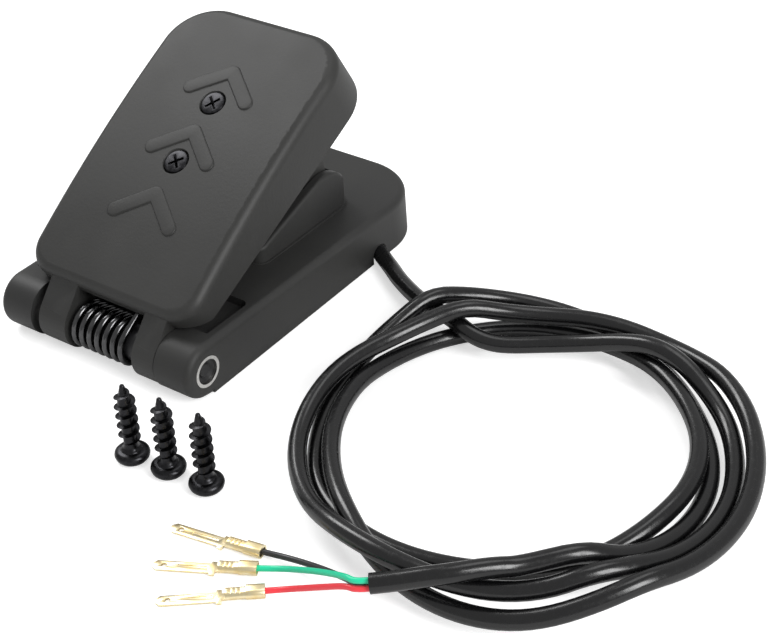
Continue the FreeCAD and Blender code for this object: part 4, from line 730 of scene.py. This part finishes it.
def cross_ring(shape, reach, half, height):
    """The edges round a cross at a height."""
    quarter = [(reach, -half), (reach, half), (half, half)]
    corners = []
    for turn in range(4):
        spin = Matrix.Rotation(math.radians(90 * turn), 2)
        corners += [shape.verts.new((*(spin @ Vector(corner) * MM), height * MM))
                    for corner in quarter]
    return ring_edges(shape, corners)


def make_pedal_screws():
    """Two pan heads with cross recesses, almost flush in the counterbores of the tread."""
    for index, (along, heading) in enumerate(PEDAL_SCREWS):
        shape = bmesh.new()
        spun(shape, PEDAL_SCREW_SIDE, PEDAL_SCREW_STEPS)
        rim = [edge for edge in shape.edges if edge.is_boundary]
        mouth = cross_ring(shape, *CROSS_MOUTH, PAN_TOP)
        foot = cross_ring(shape, *CROSS_FOOT, PAN_TOP - CROSS_DEPTH)
        bmesh.ops.triangle_fill(shape, edges=rim + mouth, use_beauty=True)
        bmesh.ops.bridge_loops(shape, edges=mouth + foot)
        bmesh.ops.contextual_create(shape, geom=foot)
        lay = TREAD_LAY @ Matrix.Translation(Vector((0, along, 0)) * MM)
        lay = lay @ Matrix.Rotation(math.radians(heading), 4, "Z")
        bmesh.ops.transform(shape, verts=shape.verts, matrix=lay)
        screw = piece("pedal_screw_%d" % (index + 1), shape, "black_steel", "pedal", smooth=35)
        if index == 0:
            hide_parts("pedal_screws")


# Tread

PEDAL_TOP = 14.0
CROWN_RADIUS = 385.0
CROWN_MIDDLE = 50.0
STANDS_PROUD = 0.01
FLATTENED_WELD = 0.02
ON_CROWN = 0.06
FACES_UP = 0.9
CHEVRON_COUNT = 3
CHEVRON_FIRST = 35.9
CHEVRON_PITCH = 18.9
CHEVRON_REACH = 11.8
CHEVRON_SWEEP = 9.7
CHEVRON_HALF = 2.0
CHEVRON_SECTION = ((-0.1, -0.2), (0.0, 0.05), (0.08, 0.22), (0.22, 0.32), (0.42, 0.35))
APEX_ROUND = 2.4
APEX_STEPS = 4
ARM_END_STEPS = 12


def crown_at(along):
    """Height of the tread's crown over a place along the pedal."""
    away = along - CROWN_MIDDLE
    return PEDAL_TOP - CROWN_RADIUS + math.sqrt(CROWN_RADIUS * CROWN_RADIUS - away * away)


def make_tread():
    """The pedal's moulding, its chevrons taken down to the crown for the rounded ones to stand on.

    Corners on the crown take the crown's own normals, so that it shades as one smooth surface.
    """
    shape = bmesh.new()
    shape.from_mesh(nodes["pedal_plate"].data)
    bmesh.ops.remove_doubles(shape, verts=shape.verts, dist=WELD)
    flat = TREAD_LAY.inverted()
    for vert in shape.verts:
        place = flat @ vert.co
        crown = crown_at(place.y / MM) * MM
        if place.z > crown + STANDS_PROUD * MM:
            place.z = crown
            vert.co = TREAD_LAY @ place
    bmesh.ops.remove_doubles(shape, verts=shape.verts, dist=FLATTENED_WELD * MM)
    bmesh.ops.dissolve_degenerate(shape, dist=FLATTENED_WELD * MM, edges=shape.edges)
    tread = piece("pedal_moulding", shape, "pedal_plastic", "pedal", smooth=28)
    mesh = tread.data
    normals = [corner.vector.copy() for corner in mesh.corner_normals]
    for face in mesh.polygons:
        for corner in face.loop_indices:
            place = flat @ mesh.vertices[mesh.loops[corner].vertex_index].co
            along = place.y / MM
            if abs(place.z / MM - crown_at(along)) > ON_CROWN:
                continue
            rise = Vector((0, (along - CROWN_MIDDLE) / CROWN_RADIUS, 1)).normalized()
            outward = TREAD_LAY.to_3x3() @ rise
            if face.normal.dot(outward) > FACES_UP:
                normals[corner] = outward
    mesh.normals_split_custom_set(normals)
    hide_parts("pedal_plate")


def chevron_outline():
    """A chevron with its apex at the origin: round apex, round arm ends, sharp inner corner."""
    length = math.hypot(CHEVRON_REACH, CHEVRON_SWEEP)
    slope = math.atan2(CHEVRON_SWEEP, CHEVRON_REACH)
    arm = Vector((math.cos(slope), -math.sin(slope)))
    inward = Vector((-math.sin(slope), -math.cos(slope)))
    end = arm * (length - CHEVRON_HALF) + inward * CHEVRON_HALF
    centre = Vector((0, -APEX_ROUND / math.cos(slope)))
    right = []
    for step in range(APEX_STEPS + 1):
        angle = math.radians(90) - slope * step / APEX_STEPS
        right.append(centre + Vector((math.cos(angle), math.sin(angle))) * APEX_ROUND)
    for step in range(ARM_END_STEPS + 1):
        angle = math.radians(90) - slope - math.radians(180) * step / ARM_END_STEPS
        right.append(end + Vector((math.cos(angle), math.sin(angle))) * CHEVRON_HALF)
    corner = Vector((0, -2 * CHEVRON_HALF / math.cos(slope)))
    left = [Vector((-point.x, point.y)) for point in reversed(right[1:])]
    return right + [corner] + left


def drawn_in(points, distance):
    """An outline drawn in by a distance, its corners mitred."""
    drawn = []
    for before, point, after in zip(points[-1:] + points, points, points[1:] + points[:1]):
        near = (point - before).normalized()
        far = (after - point).normalized()
        inward = Vector((near.y, -near.x)) + Vector((far.y, -far.x))
        drawn.append(point + inward * (2 * distance / inward.length_squared))
    return drawn


def make_chevrons():
    """Three soft raised chevrons that follow the crown of the tread."""
    outline = chevron_outline()
    shape = bmesh.new()
    for index in range(CHEVRON_COUNT):
        place = CHEVRON_FIRST + index * CHEVRON_PITCH
        rings = []
        for distance, rise in CHEVRON_SECTION:
            corners = []
            for x, y in drawn_in(outline, distance):
                along = place + y
                point = Vector((x, along, crown_at(along) + rise)) * MM
                corners.append(shape.verts.new(TREAD_LAY @ point))
            rings.append(ring_edges(shape, corners))
        for low, high in zip(rings, rings[1:]):
            bmesh.ops.bridge_loops(shape, edges=low + high)
        for ring in (rings[0], rings[-1]):
            bmesh.ops.triangle_fill(shape, edges=ring, use_beauty=True)
    piece("tread_chevrons", shape, "pedal_plastic", "pedal", smooth=50)


def dress_cad_nodes():
    """Gives every CAD node its finish."""
    slots = {row["node"]: row["material_slot"] for row in frame["record"]["subparts"]}
    for name, item in nodes.items():
        item.data.materials.clear()
        item.data.materials.append(FINISHES[slots[name]])


make_camera()
make_world()
make_floor()
make_soft_boxes()
make_cores(*make_cable())
dress_cad_nodes()
make_tread()
make_chevrons()
make_return_spring()
make_mounting_screws()
make_pedal_screws()
scene.view_settings.view_transform = "Standard"
